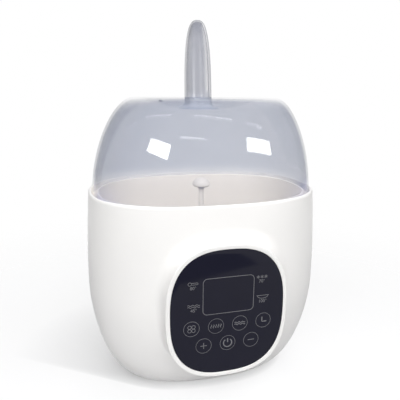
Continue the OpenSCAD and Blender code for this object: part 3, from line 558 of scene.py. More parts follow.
def gland_grid(turn):
    """Rows from the rear wall into the gland's pocket, through its neck hole and round the pad inside."""
    pot = bpy.context.scene.warmer_pot
    seat = pot.gland_seat
    back = seat - pot.gland_grip

    def circle(radius, depth):
        """A circle round the gland's axis, at a depth behind the pot's axis."""
        x = radius * np.cos(turn)
        return np.stack([x, axis_y() + depth + 0 * x, pot.gland_height + radius * np.sin(turn)], -1)

    def on_wall(radius, inset):
        """Such a circle where it meets the rear wall's outer or inner face."""
        z = pot.gland_height + radius * np.sin(turn)
        return circle(radius, pot_depth(radius * np.cos(turn), z, inset, pot.edge + inset))

    rows = [on_wall(pot.gland_pocket, 0), circle(pot.gland_pocket, seat), circle(pot.gland_neck, seat)]
    rows += [circle(pot.gland_neck, back), circle(pot.gland_pad, back), on_wall(pot.gland_pad, pot.wall)]
    return np.stack(rows)


def rim_ring(angle, inset, z):
    """Level outline parallel to the rim's outer face."""
    pot = bpy.context.scene.warmer_pot
    return level_ring(
        angle, pot.width / 2 - pot.draw - inset, pot.depth / 2 - pot.draw - inset, z, pot.squareness)


def housing_grids():
    """The white moulding as one closed skin.

    It is made of both halves outside and inside, the boss, the gland's seat, the lip and the lower edge.
    """
    pot = bpy.context.scene.warmer_pot
    panel = bpy.context.scene.warmer_panel
    window = -6 * MM
    lip_rows = 8
    inner_bottom = pot.edge + pot.wall
    outer_top = pot.rim - pot.lip_radius
    slope_top = pot.ledge - pot.ledge_thickness
    inner_top = slope_top - (pot.ledge_inset - pot.wall)

    def boss_foot(turn):
        """Outline of the boss's fillet where it leaves the wall."""
        return panel_outline(turn, panel.bezel + flare_at(turn))

    def window_edge(turn):
        """Outline of the window in the inner wall."""
        return panel_outline(turn, window)

    def round_hole(radius):
        """Outline of a round hole."""
        return lambda turn: (radius * np.cos(turn), radius * np.sin(turn))

    pocket = round_hole(pot.gland_pocket)
    pad = round_hole(pot.gland_pad)
    front, front_turn = half_shell(-1, boss_foot, panel.height, 0, pot.edge, outer_top)
    rear, rear_turn = half_shell(1, pocket, pot.gland_height, 0, pot.edge, outer_top)
    front_in, front_in_turn = half_shell(-1, window_edge, panel.height, pot.wall, inner_bottom, inner_top)
    rear_in, rear_in_turn = half_shell(1, pad, pot.gland_height, pot.wall, inner_bottom, inner_top)
    boss = boss_grid(front_turn, window)
    reveal = np.stack([boss_grid(front_in_turn, window)[-1], front_in[-1]])
    gland_outside = gland_grid(rear_turn)
    gland_inside = gland_grid(rear_in_turn)
    half = len(gland_outside) // 2
    angle = full_turn()

    def ring(halves, z):
        """Level outline of given half-width and half-depth."""
        return level_ring(angle, halves[0], halves[1], z, pot.squareness)

    lip = [ring(pot_halves(np.array(outer_top), 0, pot.edge), outer_top)]
    for a in np.linspace(0, math.pi / 2, lip_rows)[1:]:
        height = pot.rim - pot.lip_radius * (1 - math.sin(a))
        lip.append(rim_ring(angle, pot.lip_radius * (1 - math.cos(a)), height))
    profile = [
        (pot.lip - pot.lip_chamfer, pot.rim), (pot.lip, pot.rim - pot.lip_chamfer), (pot.lip, pot.ledge),
        (pot.ledge_inset, pot.ledge), (pot.ledge_inset, slope_top)]
    lip += [rim_ring(angle, inset, z) for inset, z in profile]
    lip.append(ring(pot_halves(np.array(inner_top), pot.wall, inner_bottom), inner_top))
    outer_base = (pot.base_width / 2, pot.base_depth / 2)
    inner_base = (outer_base[0] - pot.wall, outer_base[1] - pot.wall)
    foot = [ring(outer_base, pot.edge), ring(inner_base, pot.edge), ring(inner_base, inner_bottom)]
    grids = [
        front, boss, reveal, front_in, rear, gland_outside[:half + 1], gland_inside[half:], rear_in,
        np.stack(lip), np.stack(foot)]
    return [(grid, True) for grid in grids]


def full_turn():
    """Plan angles of both halves' frames in one closed turn, the same places that the halves use."""
    across = np.linspace(-1, 1, HALF_COLUMNS + 1)
    return np.concatenate([step_to_angle(across, -1)[:-1], step_to_angle(across[::-1], 1)[:-1]])


def even_turn(columns=ROUND_COLUMNS):
    """Angles of one even turn."""
    return np.arange(columns) * TAU / columns


def tank_grids():
    """The cream tank as one closed skin: floor ring, drafted wall, flange and upstand."""
    pot = bpy.context.scene.warmer_pot
    tank = bpy.context.scene.warmer_tank
    angle = even_turn()
    draft = math.tan(tank.draft)
    inner_inset = tank.outer_inset + tank.wall
    under = tank.floor - tank.floor_thickness
    floor_count = 10
    wall_count = 8

    def wall(inset, z):
        """Outline of the drafted wall, which draws in below the rim."""
        return rim_ring(angle, inset + (pot.rim - z) * draft, z)

    def hole(z):
        """Edge of the round opening in the floor."""
        return level_ring(angle, tank.opening, tank.opening, z, 2.0)

    def floor_rows(edge, z):
        """Rows in even steps from an edge to the opening."""
        return [edge + (hole(z) - edge) * u for u in np.linspace(0, 1, floor_count)]

    rows = []
    outer_edge = wall(tank.outer_inset + tank.corner, under)
    rows += floor_rows(outer_edge, under)[::-1]
    for a in np.linspace(0, math.pi / 2, CORNER_ROWS)[1:]:
        inset = tank.outer_inset + tank.corner * (1 - math.sin(a))
        rows.append(wall(inset, under + tank.corner * (1 - math.cos(a))))
    flange_under = pot.ledge
    for z in np.linspace(under + tank.corner, flange_under, wall_count)[1:]:
        rows.append(wall(tank.outer_inset, z))
    rows.append(rim_ring(angle, tank.flange_inset, flange_under))
    rows.append(rim_ring(angle, tank.flange_inset, tank.flange_top))
    rows.append(rim_ring(angle, tank.outer_inset, tank.flange_top))
    middle = tank.outer_inset + tank.wall / 2
    for a in np.linspace(0, math.pi, CORNER_ROWS):
        inset = middle - tank.wall / 2 * math.cos(a)
        rows.append(rim_ring(angle, inset, tank.top - tank.edge * (1 - math.sin(a))))
    inside_corner = tank.corner - tank.wall
    for z in np.linspace(tank.top - tank.edge, tank.floor + inside_corner, wall_count + 1)[1:-1]:
        rows.append(wall(inner_inset, z))
    for a in np.linspace(math.pi / 2, 0, CORNER_ROWS):
        inset = inner_inset + inside_corner * (1 - math.sin(a))
        rows.append(wall(inset, tank.floor + inside_corner * (1 - math.cos(a))))
    rows += floor_rows(wall(inner_inset + inside_corner, tank.floor), tank.floor)[1:]
    rows.append(rows[0])
    return [(np.stack(rows), True)]


def lid_stations(off):
    """Half-width, half-depth, setback, height and squareness from the lower edge to the grip's tip.

    The dome's spread is (1 - rise^p)^(1/p), the top dips as a cosine to the grip's fillet,
    and the grip narrows as another (1 - rise^q)^(1/q). The whole is drawn in by off.
    """
    dome_rows = 40
    top_rows = 22
    fillet_rows = 10
    grip_rows = 34
    lid = bpy.context.scene.warmer_lid
    plain = bpy.context.scene.warmer_pot.squareness
    square = lid.grip_squareness
    start = lid.bottom + lid.skirt
    crest = lid.top - off
    rise = np.sin(np.linspace(0, math.pi / 2, dome_rows))
    spread = np.clip(1 - rise ** lid.fullness, 0, 1) ** (1 / lid.fullness)
    half_x = lid.top_width / 2
    half_y = lid.top_depth / 2
    foot_x = lid.grip_thickness / 2
    foot_y = lid.grip_length / 2
    fillet = lid.grip_fillet
    dome = [half_x + (lid.edge_x - half_x) * spread - off, half_y + (lid.edge_y - half_y) * spread - off]
    dome += [lid.lean * (spread - 1), start + (crest - start) * rise, plain + 0 * rise]
    u = np.linspace(0, 1, top_rows)[1:]
    top = [half_x + (foot_x + fillet - half_x) * u - off, half_y + (foot_y + fillet - half_y) * u - off]
    top += [(lid.grip_setback + lid.lean) * u - lid.lean, crest - lid.dish * (1 - np.cos(math.pi * u)) / 2]
    top += [plain + (square - plain) * u]
    a = np.linspace(0, math.pi / 2, fillet_rows)[1:]
    valley = crest - lid.dish
    curve = [foot_x + fillet * (1 - np.sin(a)) - off, foot_y + fillet * (1 - np.sin(a)) - off]
    curve += [lid.grip_setback + 0 * a, valley + fillet * (1 - np.cos(a)), square + 0 * a]
    rise = np.sin(np.linspace(0, math.pi / 2, grip_rows)[1:])
    arch = np.clip(1 - rise ** lid.grip_fullness, 0, 1) ** (1 / lid.grip_fullness)
    narrow = (1 - lid.grip_taper * rise) * arch
    grip_start = valley + fillet
    grip = [(foot_x - off) * narrow, (foot_y - off) * narrow, lid.grip_setback + lid.grip_rake * rise]
    grip += [grip_start + (lid.grip_top - off - grip_start) * rise, square + 0 * rise]
    return np.concatenate([np.stack(dome), np.stack(top), np.stack(curve), np.stack(grip)], 1).T


def lid_face(off):
    """Rows of one face of the lid, drawn in by off, from the top of the skirt to the grip's tip."""
    angle = even_turn()
    least = 1e-9
    rows = []
    for half_x, half_y, setback, z, squareness in lid_stations(off):
        rows.append(level_ring(angle, max(half_x, least), max(half_y, least), z, squareness, setback))
    return rows


def lid_grids():
    """The lid as one closed skin: the outer face, the rounded lower edge and the inner face."""
    pot = bpy.context.scene.warmer_pot
    lid = bpy.context.scene.warmer_lid
    angle = even_turn()
    edge = []
    half_wall = lid.wall / 2
    for a in np.linspace(0, math.pi, CORNER_ROWS):
        inset = half_wall * (1 + math.cos(a))
        z = lid.bottom + half_wall * (1 - math.sin(a))
        edge.append(level_ring(angle, lid.edge_x - inset, lid.edge_y - inset, z, pot.squareness))
    rows = lid_face(lid.wall)[::-1] + edge + lid_face(0)
    return [(np.stack(rows), True)]


def cut_vent(mesh):
    """The lid's mesh with its steam vent cut through the top, left of the middle and to the front."""
    lid = bpy.context.scene.warmer_lid
    left_share = 0.34
    front_share = 0.25
    columns = 32
    angle = even_turn(columns)
    centre_x = -lid.top_width * left_share
    centre_y = axis_y() - lid.top_depth * front_share
    x = centre_x + lid.vent / 2 * np.cos(angle)
    y = centre_y + lid.vent / 2 * np.sin(angle)
    low = np.stack([x, y, lid.top - 2 * lid.dish + 0 * x], -1)
    high = low + np.array([0, 0, 3 * lid.dish])
    middle = np.array([centre_x, centre_y, 0.0])
    ends = [middle + 0 * x[:, None] + np.array([0, 0, row[0, 2]]) for row in (low, high)]
    drill = bpy.data.objects.new("drill", mesh_of("drill", [(np.stack([ends[0], low, high, ends[1]]), True)]))
    whole = bpy.data.objects.new("whole", mesh)
    for holder in (drill, whole):
        bpy.context.scene.collection.objects.link(holder)
    cut = whole.modifiers.new("vent", "BOOLEAN")
    cut.operation = "DIFFERENCE"
    cut.object = drill
    bpy.context.view_layer.update()
    pierced = bpy.data.meshes.new_from_object(whole.evaluated_get(bpy.context.evaluated_depsgraph_get()))
    for holder in (drill, whole):
        bpy.data.objects.remove(holder)
    pierced.name = mesh.name + "_vented"
    pierced.set_sharp_from_angle(angle=SHARP)
    return pierced


def lens_grid():
    """The dark lens: a superellipse plate with a rounded front edge, in rows from centre to centre."""
    face_rows = 14
    back_rows = 6
    edge_rows = 6
    turn = even_turn()
    front = panel_front() - LENS_RECESS * MM
    back = panel_front() - bpy.context.scene.warmer_panel.thickness
    edge = 0.3 * MM
    x, z = panel_outline(turn, -edge)
    rows = [on_panel(x * size, z * size, front) for size in np.linspace(0, 1, face_rows)]
    for a in np.linspace(0, math.pi / 2, edge_rows)[1:]:
        rows.append(panel_loop(turn, -edge * (1 - math.sin(a)), front - edge * (1 - math.cos(a))))
    rows.append(panel_loop(turn, 0, back))
    rows += [on_panel(x * size, z * size, back) for size in np.linspace(1, 0, back_rows)]
    return np.stack(rows)


def stroke(path, width, closed):
    """A printed line: a thin square profile carried along a path on the panel, in metres from its centre.

    The profile's sides lie half a width either side of the path. Open ends close on the path itself.
    """
    front = panel_front() - LINE_RECESS * MM
    back = front - LINE_THICKNESS * MM
    if closed:
        along = np.roll(path, -1, 0) - np.roll(path, 1, 0)
    else:
        along = np.gradient(path, axis=0)
    along = along / np.linalg.norm(along, axis=1, keepdims=True)
    aside = np.stack([-along[:, 1], along[:, 0]], -1) * width / 2
    corners = ((1, front), (-1, front), (-1, back), (1, back))
    grid = np.stack([on_panel(*(path + way * aside).T, forward) for way, forward in corners])
    if closed:
        return np.concatenate([grid, grid[:1]]), True
    middle = on_panel(*path.T, (front + back) / 2)
    first = np.repeat(middle[:1], 4, 0)[None]
    last = np.repeat(middle[-1:], 4, 0)[None]
    return np.concatenate([first, np.swapaxes(grid, 0, 1), last]), True


def arc(centre, radius, start, end, count=48):
    """Points of a circular arc between two angles in degrees."""
    angle = np.radians(np.linspace(start, end, count))
    return np.stack([centre[0] + radius * np.cos(angle), centre[1] + radius * np.sin(angle)], -1)


def circle_path(centre, radius, count=72):
    """Points of a whole circle, without a repeat."""
    return arc(centre, radius, 0, 360 * (count - 1) / count, count)


def line_path(start, end, count=6):
    """Even points of a straight line."""
    return np.linspace(start, end, count)


def frame_path(half_x, half_y, radius, centre):
    """A rounded rectangle, corner by corner."""
    corners = [(1, 1, 0), (-1, 1, 90), (-1, -1, 180), (1, -1, 270)]
    corner_count = 12
    parts = []
    for side_x, side_y, start in corners:
        middle = (centre[0] + side_x * (half_x - radius), centre[1] + side_y * (half_y - radius))
        parts.append(arc(middle, radius, start, start + 90, corner_count))
    return np.concatenate(parts)


def wave_path(start, end, height, waves, count=40):
    """A sine wave carried along a straight line."""
    t = np.linspace(0, 1, count)[:, None]
    start = np.asarray(start)
    end = np.asarray(end)
    along = (end - start) / np.linalg.norm(end - start)
    aside = np.array([-along[1], along[0]])
    return start + (end - start) * t + aside * height * np.sin(TAU * waves * t)


def mark_strokes():
    """Strokes of the generic marks by kind.

    Each is a path in millimetres from the middle, a width in printed lines, and whether the path closes.
    Keys have a menu of four rings, heat, steam, clock hands, plus, minus and power. Labels have a lying
    thermometer, waves, flakes and a low bowl.
    """
    plain = 1.0
    bold = 1.3
    hand = 1.9
    heavy = 2.2
    small_count = 36
    corner = (-1.2, -1.2)
    flakes = []
    for x in (-3.7, 0, 3.7):
        for angle in np.radians((30, 90, 150)):
            reach = 1.6 * np.array([math.cos(angle), math.sin(angle)])
            flakes.append((line_path((x, 0) - reach, (x, 0) + reach), plain, False))
    minus = [(line_path((-3, 0), (3, 0)), bold, False)]
    bowl = arc((0, 0), 1, 180, 360) * (5.0, 2.6) + (0, 1.1)
    return {
        "menu": [
            (circle_path((x, y), 1.6, small_count), plain, True)
            for x in (-1.75, 1.75) for y in (-1.75, 1.75)],
        "heat": [(wave_path((x, -1.7), (x, 1.7), 0.5, 1), bold, False) for x in (-4.4, -2.2, 0, 2.2, 4.4)],
        "steam": [(wave_path((-5, y), (5, y), 0.5, 3), bold, False) for y in (-0.9, 0.9)],
        "clock": [
            (line_path((-1.2, 3.4), corner), hand, False), (line_path(corner, (3.3, -1.2)), hand, False)],
        "minus": minus,
        "plus": minus + [(line_path((0, -3), (0, 3)), bold, False)],
        "power": [(arc((0, 0), 3.9, 125, 415), heavy, False), (line_path((0, 0.6), (0, 4.4)), heavy, False)],
        "thermometer": [
            (frame_path(2.9, 0.8, 0.7, (1.4, 0)), plain, True),
            (circle_path((-3, 0), 1.5, small_count), plain, True)],
        "waves": [(wave_path((-5.6, y), (5.6, y), 0.5, 3), plain, False) for y in (-0.9, 0.9)],
        "flakes": flakes,
        "bowl": [(bowl, plain, False), (line_path((-6, 1.4), (6, 1.4)), plain, False)],
    }


def print_grids():
    """The panel's printed lines: display frame, key rings with their marks, and a mark over each number."""
    panel = bpy.context.scene.warmer_panel
    corner = 4 * MM
    middle = (0.0, panel.display_rise)
    display = frame_path(panel.display_width / 2, panel.display_height / 2, corner, middle)
    grids = [stroke(display, panel.line * FRAME_LINE, True)]
    places = []
    for kind, along, drop in KEYS:
        middle = np.array([along * panel.key_pitch, -drop * MM])
        grids.append(stroke(circle_path(middle, panel.key_radius), panel.line * RING_LINE, True))
        places.append((kind, middle))
    for kind, number, x, z in LABELS:
        places.append((kind, np.array([x, z + LABEL_GAP]) * MM))
    marks = mark_strokes()
    for kind, middle in places:
        for path, width, closed in marks[kind]:
            grids.append(stroke(middle + path * MM, width * panel.line, closed))
    return grids


def number_mesh(text, height, x, z):
    """A plain number on the panel, as thin solid lettering stood upright and facing forwards."""
    face = bpy.data.curves.new("number", "FONT")
    face.body = text
    face.align_x = "CENTER"
    face.align_y = "CENTER"
    face.size = height
    face.extrude = NUMBER_HALF_THICKNESS * MM
    holder = bpy.data.objects.new("number", face)
    bpy.context.scene.collection.objects.link(holder)
    bpy.context.view_layer.update()
    seen = holder.evaluated_get(bpy.context.evaluated_depsgraph_get())
    mesh = bpy.data.meshes.new_from_object(seen)
    bpy.data.objects.remove(holder)
    spot = Vector(on_panel(x, z, panel_front() - NUMBER_RECESS * MM))
    mesh.transform(Matrix.Translation(spot) @ Matrix.Rotation(math.pi / 2, 4, "X"))
    return mesh


def join_meshes(name, meshes):
    """One mesh from several."""
    work = bmesh.new()
    for mesh in meshes:
        work.from_mesh(mesh)
    whole = bpy.data.meshes.new(name)
    work.to_mesh(whole)
    work.free()
    return whole


class NodeBench:
    """Adds nodes to the tree of a material or world and links them, in short calls."""

    def __init__(self, owner):
        owner.use_nodes = True
        self.nodes = owner.node_tree.nodes
        self.links = owner.node_tree.links

    def feed(self, socket, value):
        """Links a node's output to a socket, or sets the socket's own constant."""
        if isinstance(value, bpy.types.NodeSocket):
            self.links.new(value, socket)
        else:
            socket.default_value = value

    def add(self, kind, **values):
        """A new node, with values for its sockets by name. An underscore stands for a space."""
        node = self.nodes.new("ShaderNode" + kind)
        for name, value in values.items():
            self.feed(node.inputs[name.replace("_", " ")], value)
        return node

    def operate(self, kind, operation, *values):
        """A node that works out a Math or VectorMath operation on values."""
        node = self.nodes.new("ShaderNode" + kind)
        node.operation = operation
        for socket, value in zip(node.inputs, values):
            self.feed(socket, value)
        return node

    def math(self, operation, *values):
        """The result of an operation on one or two values."""
        return self.operate("Math", operation, *values).outputs["Value"]

    def product(self, first, *others):
        """The product of several values."""
        for other in others:
            first = self.math("MULTIPLY", first, other)
        return first

    def split(self, vector):
        """The three parts of a vector."""
        return self.add("SeparateXYZ", Vector=vector).outputs

    def spread(self, value, low=0.0, high=1.0):
        """A value from 0 to 1, spread evenly from low to high."""
        return self.add("MapRange", Value=value, To_Min=low, To_Max=high).outputs["Result"]

    def step(self, value, span, low=0.0, high=1.0):
        """A smooth step: low before the span of a value and high after it."""
        node = self.add("MapRange", Value=value, From_Min=span[0], From_Max=span[1], To_Min=low, To_Max=high)
        node.interpolation_type = "SMOOTHSTEP"
        return node.outputs["Result"]

    def mix(self, share_of_second, first, second):
        """A colour between two, of which one or both vary."""
        node = self.nodes.new("ShaderNodeMix")
        node.data_type = "RGBA"
        colour_sockets = [socket for socket in node.inputs if socket.type == "RGBA"]
        self.feed(node.inputs["Factor"], share_of_second)
        self.feed(colour_sockets[0], first)
        self.feed(colour_sockets[1], second)
        return next(socket for socket in node.outputs if socket.type == "RGBA")

    def blend(self, share_of_second, first, second):
        """A shader between two."""
        node = self.nodes.new("ShaderNodeMixShader")
        for socket, value in zip(node.inputs, (share_of_second, first, second)):
            self.feed(socket, value)
        return node.outputs["Shader"]


def millimetres(span, origin=0.0):
    """A span given in millimetres from an origin, in metres."""
    return [origin + place_on_it * MM for place_on_it in span]


def finish_material(name, tint, roughness, mottle=0.02, grain=900.0, bump=0.0, metal=0.0, gloss=0.5):
    """A moulded or machined finish: a tint with a fine mottle, a spread of roughness and a fine relief."""
    cloud_scale = 35.0
    cloud_ends = (0.3, 0.7)
    wear = 0.15
    relief_height = 0.2 * MM
    material = bpy.data.materials.new(name)
    bench = NodeBench(material)
    shader = bench.nodes["Principled BSDF"].inputs
    shader["Metallic"].default_value = metal
    shader["Specular IOR Level"].default_value = gloss
    where = bench.add("TexCoord").outputs["Object"]
    cloud = bench.add("TexNoise", Vector=where, Scale=cloud_scale, Detail=4.0).outputs["Fac"]
    ramp = bench.add("ValToRGB", Fac=cloud)
    for end, position, factor in zip(ramp.color_ramp.elements, cloud_ends, (1 - mottle, 1 + mottle)):
        end.position = position
        end.color = (*[min(1.0, part * factor) for part in tint], 1.0)
    bench.feed(shader["Base Color"], ramp.outputs["Color"])
    worn = bench.spread(cloud, roughness * (1 - wear), min(1.0, roughness * (1 + wear)))
    bench.feed(shader["Roughness"], worn)
    if bump > 0:
        fine = bench.add("TexNoise", Vector=where, Scale=grain, Detail=2.0).outputs["Fac"]
        relief = bench.add("Bump", Strength=bump, Distance=relief_height, Height=fine)
        bench.feed(shader["Normal"], relief.outputs["Normal"])
    return material


def see_through(material):
    """Makes the lid's moulding see-through.

    A face holds back more light where it is seen edge on, in the grip and at the grip's tip. As painted shade
    it holds back more at the lid's left, and as painted light less at its right and on the level top, as if
    lit from the right and from above. As a painted highlight the grip's right corner and flank are clearer;
    its right edge is darker and its foot is thick and milky. Low on the dome the rear wall and the ends carry
    a pale cream band of painted light over the shaded gap by the tank's far edge, and the ends of the front
    wall are cooler.
    """
    lid = bpy.context.scene.warmer_lid
    bench = NodeBench(material)
    shader = bench.nodes["Principled BSDF"].inputs
    shader["IOR"].default_value = lid.index
    where = bench.add("TexCoord").outputs
    x, y, z = bench.split(where["Object"])
    faces_right, faces_back, faces_up = bench.split(where["Normal"])
    grip_rise = (lid.top - lid.dish, lid.top + lid.dish)
    above_top = (lid.top, lid.top + lid.dish)
    grip_tip = (lid.grip_top - 2 * lid.dish, lid.grip_top)
    whole = (0.0, 1.0)

    plan = bench.operate("VectorMath", "MULTIPLY", where["Object"], (1.0, 1.0, 0.0)).outputs["Vector"]
    grip_axis = (0.0, axis_y() + lid.grip_setback, 0.0)
    from_axis = bench.operate("VectorMath", "DISTANCE", plan, grip_axis).outputs["Value"]
    near_grip = bench.step(from_axis, millimetres(FOOT_FROM_GRIP_AXIS), 1.0, 0.0)
    foot = bench.product(near_grip, bench.step(z, millimetres(FOOT_FROM_TOP, lid.top), 1.0, 0.0))

    # Painted highlight: the grip's right front corner and flank, which are drawn clearer and so paler
    right_grip = bench.product(bench.step(z, above_top), bench.step(x, millimetres(RIGHT_OF_MIDDLE)))
    right_front = bench.product(right_grip, bench.step(faces_back, FRONT_FACE))
    corner = bench.step(faces_right, CORNER_BEGINS)
    corner = bench.product(corner, bench.step(faces_right, CORNER_ENDS, 1.0, 0.0), right_front)
    flank = bench.product(bench.step(faces_right, FLANK_FROM_INSIDE), right_grip)
    edge_on = bench.product(bench.step(faces_right, EDGE_FACE), right_front)

    slant = bench.add("LayerWeight").outputs["Facing"]
    cover = bench.spread(slant, lid.cover, bench.step(z, grip_rise, lid.edge_cover, lid.grip_cover))
    # Painted light: level faces below the grip hold back less, so the top shows lighter as if lit from above
    top_light_cover = bench.step(z, above_top, lid.top_light_density, 1.0)
    held = bench.product(
        cover,
        bench.step(z, grip_rise, 1.0, lid.grip_density),
        bench.step(bench.math("ABSOLUTE", faces_up), LEVEL_FACE, 1.0, top_light_cover),
        # Painted shade at the lid's left and painted light at its right, as if lit from the right
        bench.step(x, (-lid.edge_x, lid.edge_x), 1.0 + lid.left_shade_drift, 1.0 - lid.left_shade_drift),
        # Painted highlight on the grip's right corner and flank
        bench.step(bench.math("MAXIMUM", corner, flank), whole, 1.0, lid.corner_highlight_cover),
        bench.step(edge_on, whole, 1.0, lid.outline),
        bench.step(z, grip_tip, 1.0, lid.tip_density))
    bench.feed(shader["Alpha"], bench.step(foot, whole, held, 1.0))

    rough = bench.step(z, grip_rise, shader["Roughness"].links[0].from_socket, lid.grip_roughness)
    bench.feed(shader["Roughness"], bench.step(foot, whole, rough, 1.0))

    # Painted light: a pale cream band low on the rear wall, over the shaded gap by the tank's far edge
    milky = bench.product(
        bench.step(z, millimetres(PALE_BAND_FROM_BOTTOM, lid.bottom)),
        bench.step(y, [share_of * lid.edge_y for share_of in PALE_BAND_DEPTH]))
    from_middle = bench.math("ABSOLUTE", bench.math("ADD", x, COOL_SHIFT * MM))
    cool = bench.product(
        bench.step(from_middle, millimetres(COOL_FROM_MIDDLE)),
        bench.step(z, millimetres(COOL_FROM_BOTTOM, lid.bottom)),
        bench.step(y, [share_of * lid.edge_y for share_of in COOL_DEPTH]))
    tint = shader["Base Color"].links[0].from_socket
    zones = (
        (milky, lid.pale_band_tint), (cool, lid.cool_tint), (bench.step(z, grip_rise), lid.grip_tint),
        (foot, lid.foot_tint))
    for zone, zone_tint in zones:
        tint = bench.mix(zone, tint, (*zone_tint, 1.0))
    bench.feed(shader["Base Color"], tint)


def shade_neck(material, top):
    """Darkens what lies below a height, as the gap under the knob's cap is shaded."""
    bench = NodeBench(material)
    base = bench.nodes["Principled BSDF"].inputs["Base Color"]
    z = bench.split(bench.add("TexCoord").outputs["Object"])["Z"]
    above = bench.add("MapRange", Value=z, From_Min=top - NECK_FADE * MM, From_Max=top).outputs["Result"]
    neck = (*bpy.context.scene.warmer_tank.neck_tint, 1.0)
    bench.feed(base, bench.mix(above, neck, base.links[0].from_socket))


class WarmerHousing(bpy.types.Operator):
    """Makes the white pot with its panel boss, lip and gland seat."""

    bl_idname = "warmer.housing"
    bl_label = "Housing"

    def execute(self, context):
        tint = context.scene.warmer_pot.tint
        white = finish_material("glossy_white", tint, roughness=0.3, mottle=0.006, grain=700.0, bump=0.02)
        mesh = mesh_of("housing", housing_grids())
        place("white_housing", mesh, "warmer", white, ["outer_housing"])
        return {"FINISHED"}


class WarmerPanel(bpy.types.Operator):
    """Makes the dark lens and its printed marks."""

    bl_idname = "warmer.panel"
    bl_label = "Panel"

    def execute(self, context):
        panel = context.scene.warmer_panel
        dark = finish_material("dark_lens", panel.lens_tint, roughness=0.06, mottle=0.05, gloss=0.22)
        lens = mesh_of("lens", [(lens_grid(), True)])
        place("dark_lens", lens, "warmer", dark, ["panel_lens"])
        grey = finish_material("printed_grey", panel.print_tint, roughness=0.4, mottle=0.08)
        meshes = [mesh_of("marks", print_grids())]
        for kind, number, x, z in LABELS:
            meshes.append(number_mesh(number, NUMBER_HEIGHT * MM, x * MM, (z - LABEL_GAP) * MM))
        place("panel_print", join_meshes("panel_print", meshes), "warmer", grey)
        return {"FINISHED"}


class WarmerTank(bpy.types.Operator):
    """Makes the cream tank."""

    bl_idname = "warmer.tank"
    bl_label = "Tank"

    def execute(self, context):
        tint = context.scene.warmer_tank.tint
        cream = finish_material("satin_cream", tint, roughness=0.42, mottle=0.012, grain=1100.0, bump=0.05)
        place("cream_tank", mesh_of("tank", tank_grids()), "warmer", cream, ["inner_tank"])
        return {"FINISHED"}


class WarmerLid(bpy.types.Operator):
    """Makes the translucent lid with its hollow grip and steam vent."""

    bl_idname = "warmer.lid"
    bl_label = "Lid"

    def execute(self, context):
        lid = context.scene.warmer_lid
        frosted = finish_material(
            "frosted_lid", lid.tint, roughness=0.025, mottle=0.01, grain=500.0, bump=0.015, gloss=1.0)
        see_through(frosted)
        mesh = cut_vent(mesh_of("lid_skin", lid_grids()))
        piece = place("translucent_lid", mesh, "lid", frosted, ["lid"])
        piece.visible_shadow = False
        return {"FINISHED"}


class WarmerInside(bpy.types.Operator):
    """Gives every CAD piece that stays its own finish."""

    bl_idname = "warmer.inside"
    bl_label = "Inner Pieces"

    def execute(self, context):
        looks = {
            "brushed_steel": dict(roughness=0.32, metal=1.0, mottle=0.06, grain=1500.0, bump=0.1),
            "aluminium": dict(roughness=0.38, metal=1.0, mottle=0.05, grain=1200.0, bump=0.1),
            "brass": dict(roughness=0.3, metal=1.0, mottle=0.06, grain=1200.0, bump=0.05),
            "rubber": dict(roughness=0.7, mottle=0.08, grain=1500.0, bump=0.2, gloss=0.3),
            "gloss_plastic": dict(roughness=0.2, mottle=0.02, grain=800.0, bump=0.02),
            "matte_plastic": dict(roughness=0.5, mottle=0.03, grain=1500.0, bump=0.12),
        }
        record = frame["record"]
        slots = {entry["slot"]: entry for entry in record["materials"]}
        made = {}
        for part in record["subparts"]:
            slot = part["material_slot"]
            if slot not in made:
                entry = slots[slot]
                look = looks[entry["class"]]
                made[slot] = finish_material("inner_" + slot, entry["base_color"][:3], **look)
            node = frame["nodes"][part["node"]]
            node.data.materials.clear()
            node.data.materials.append(made[slot])
        tint = context.scene.warmer_tank.knob_tint
        for name in ("basket_stem", "stem_knob"):
            pale = finish_material("pale_" + name, tint, roughness=0.3, mottle=0.01, grain=900.0, bump=0.03)
            if name == "stem_knob":
                shade_neck(pale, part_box(name)[0][2] + NECK_SHADE * MM)
            frame["nodes"][name].data.materials[0] = pale
        return {"FINISHED"}


def stage_sheet(name, grid, closed, material):
    """A sheet of the stage from a grid of points."""
    sheet = bpy.data.objects.new(name, mesh_of(name, [(grid, closed)]))
    bpy.context.scene.collection.objects.link(sheet)
    sheet.data.materials.append(material)
    return sheet


def show_in_gloss_only(sheet):
    """Hides a sheet from all but mirror images."""
    sheet.visible_camera = False
    sheet.visible_diffuse = False
    sheet.visible_transmission = False
    sheet.visible_shadow = False


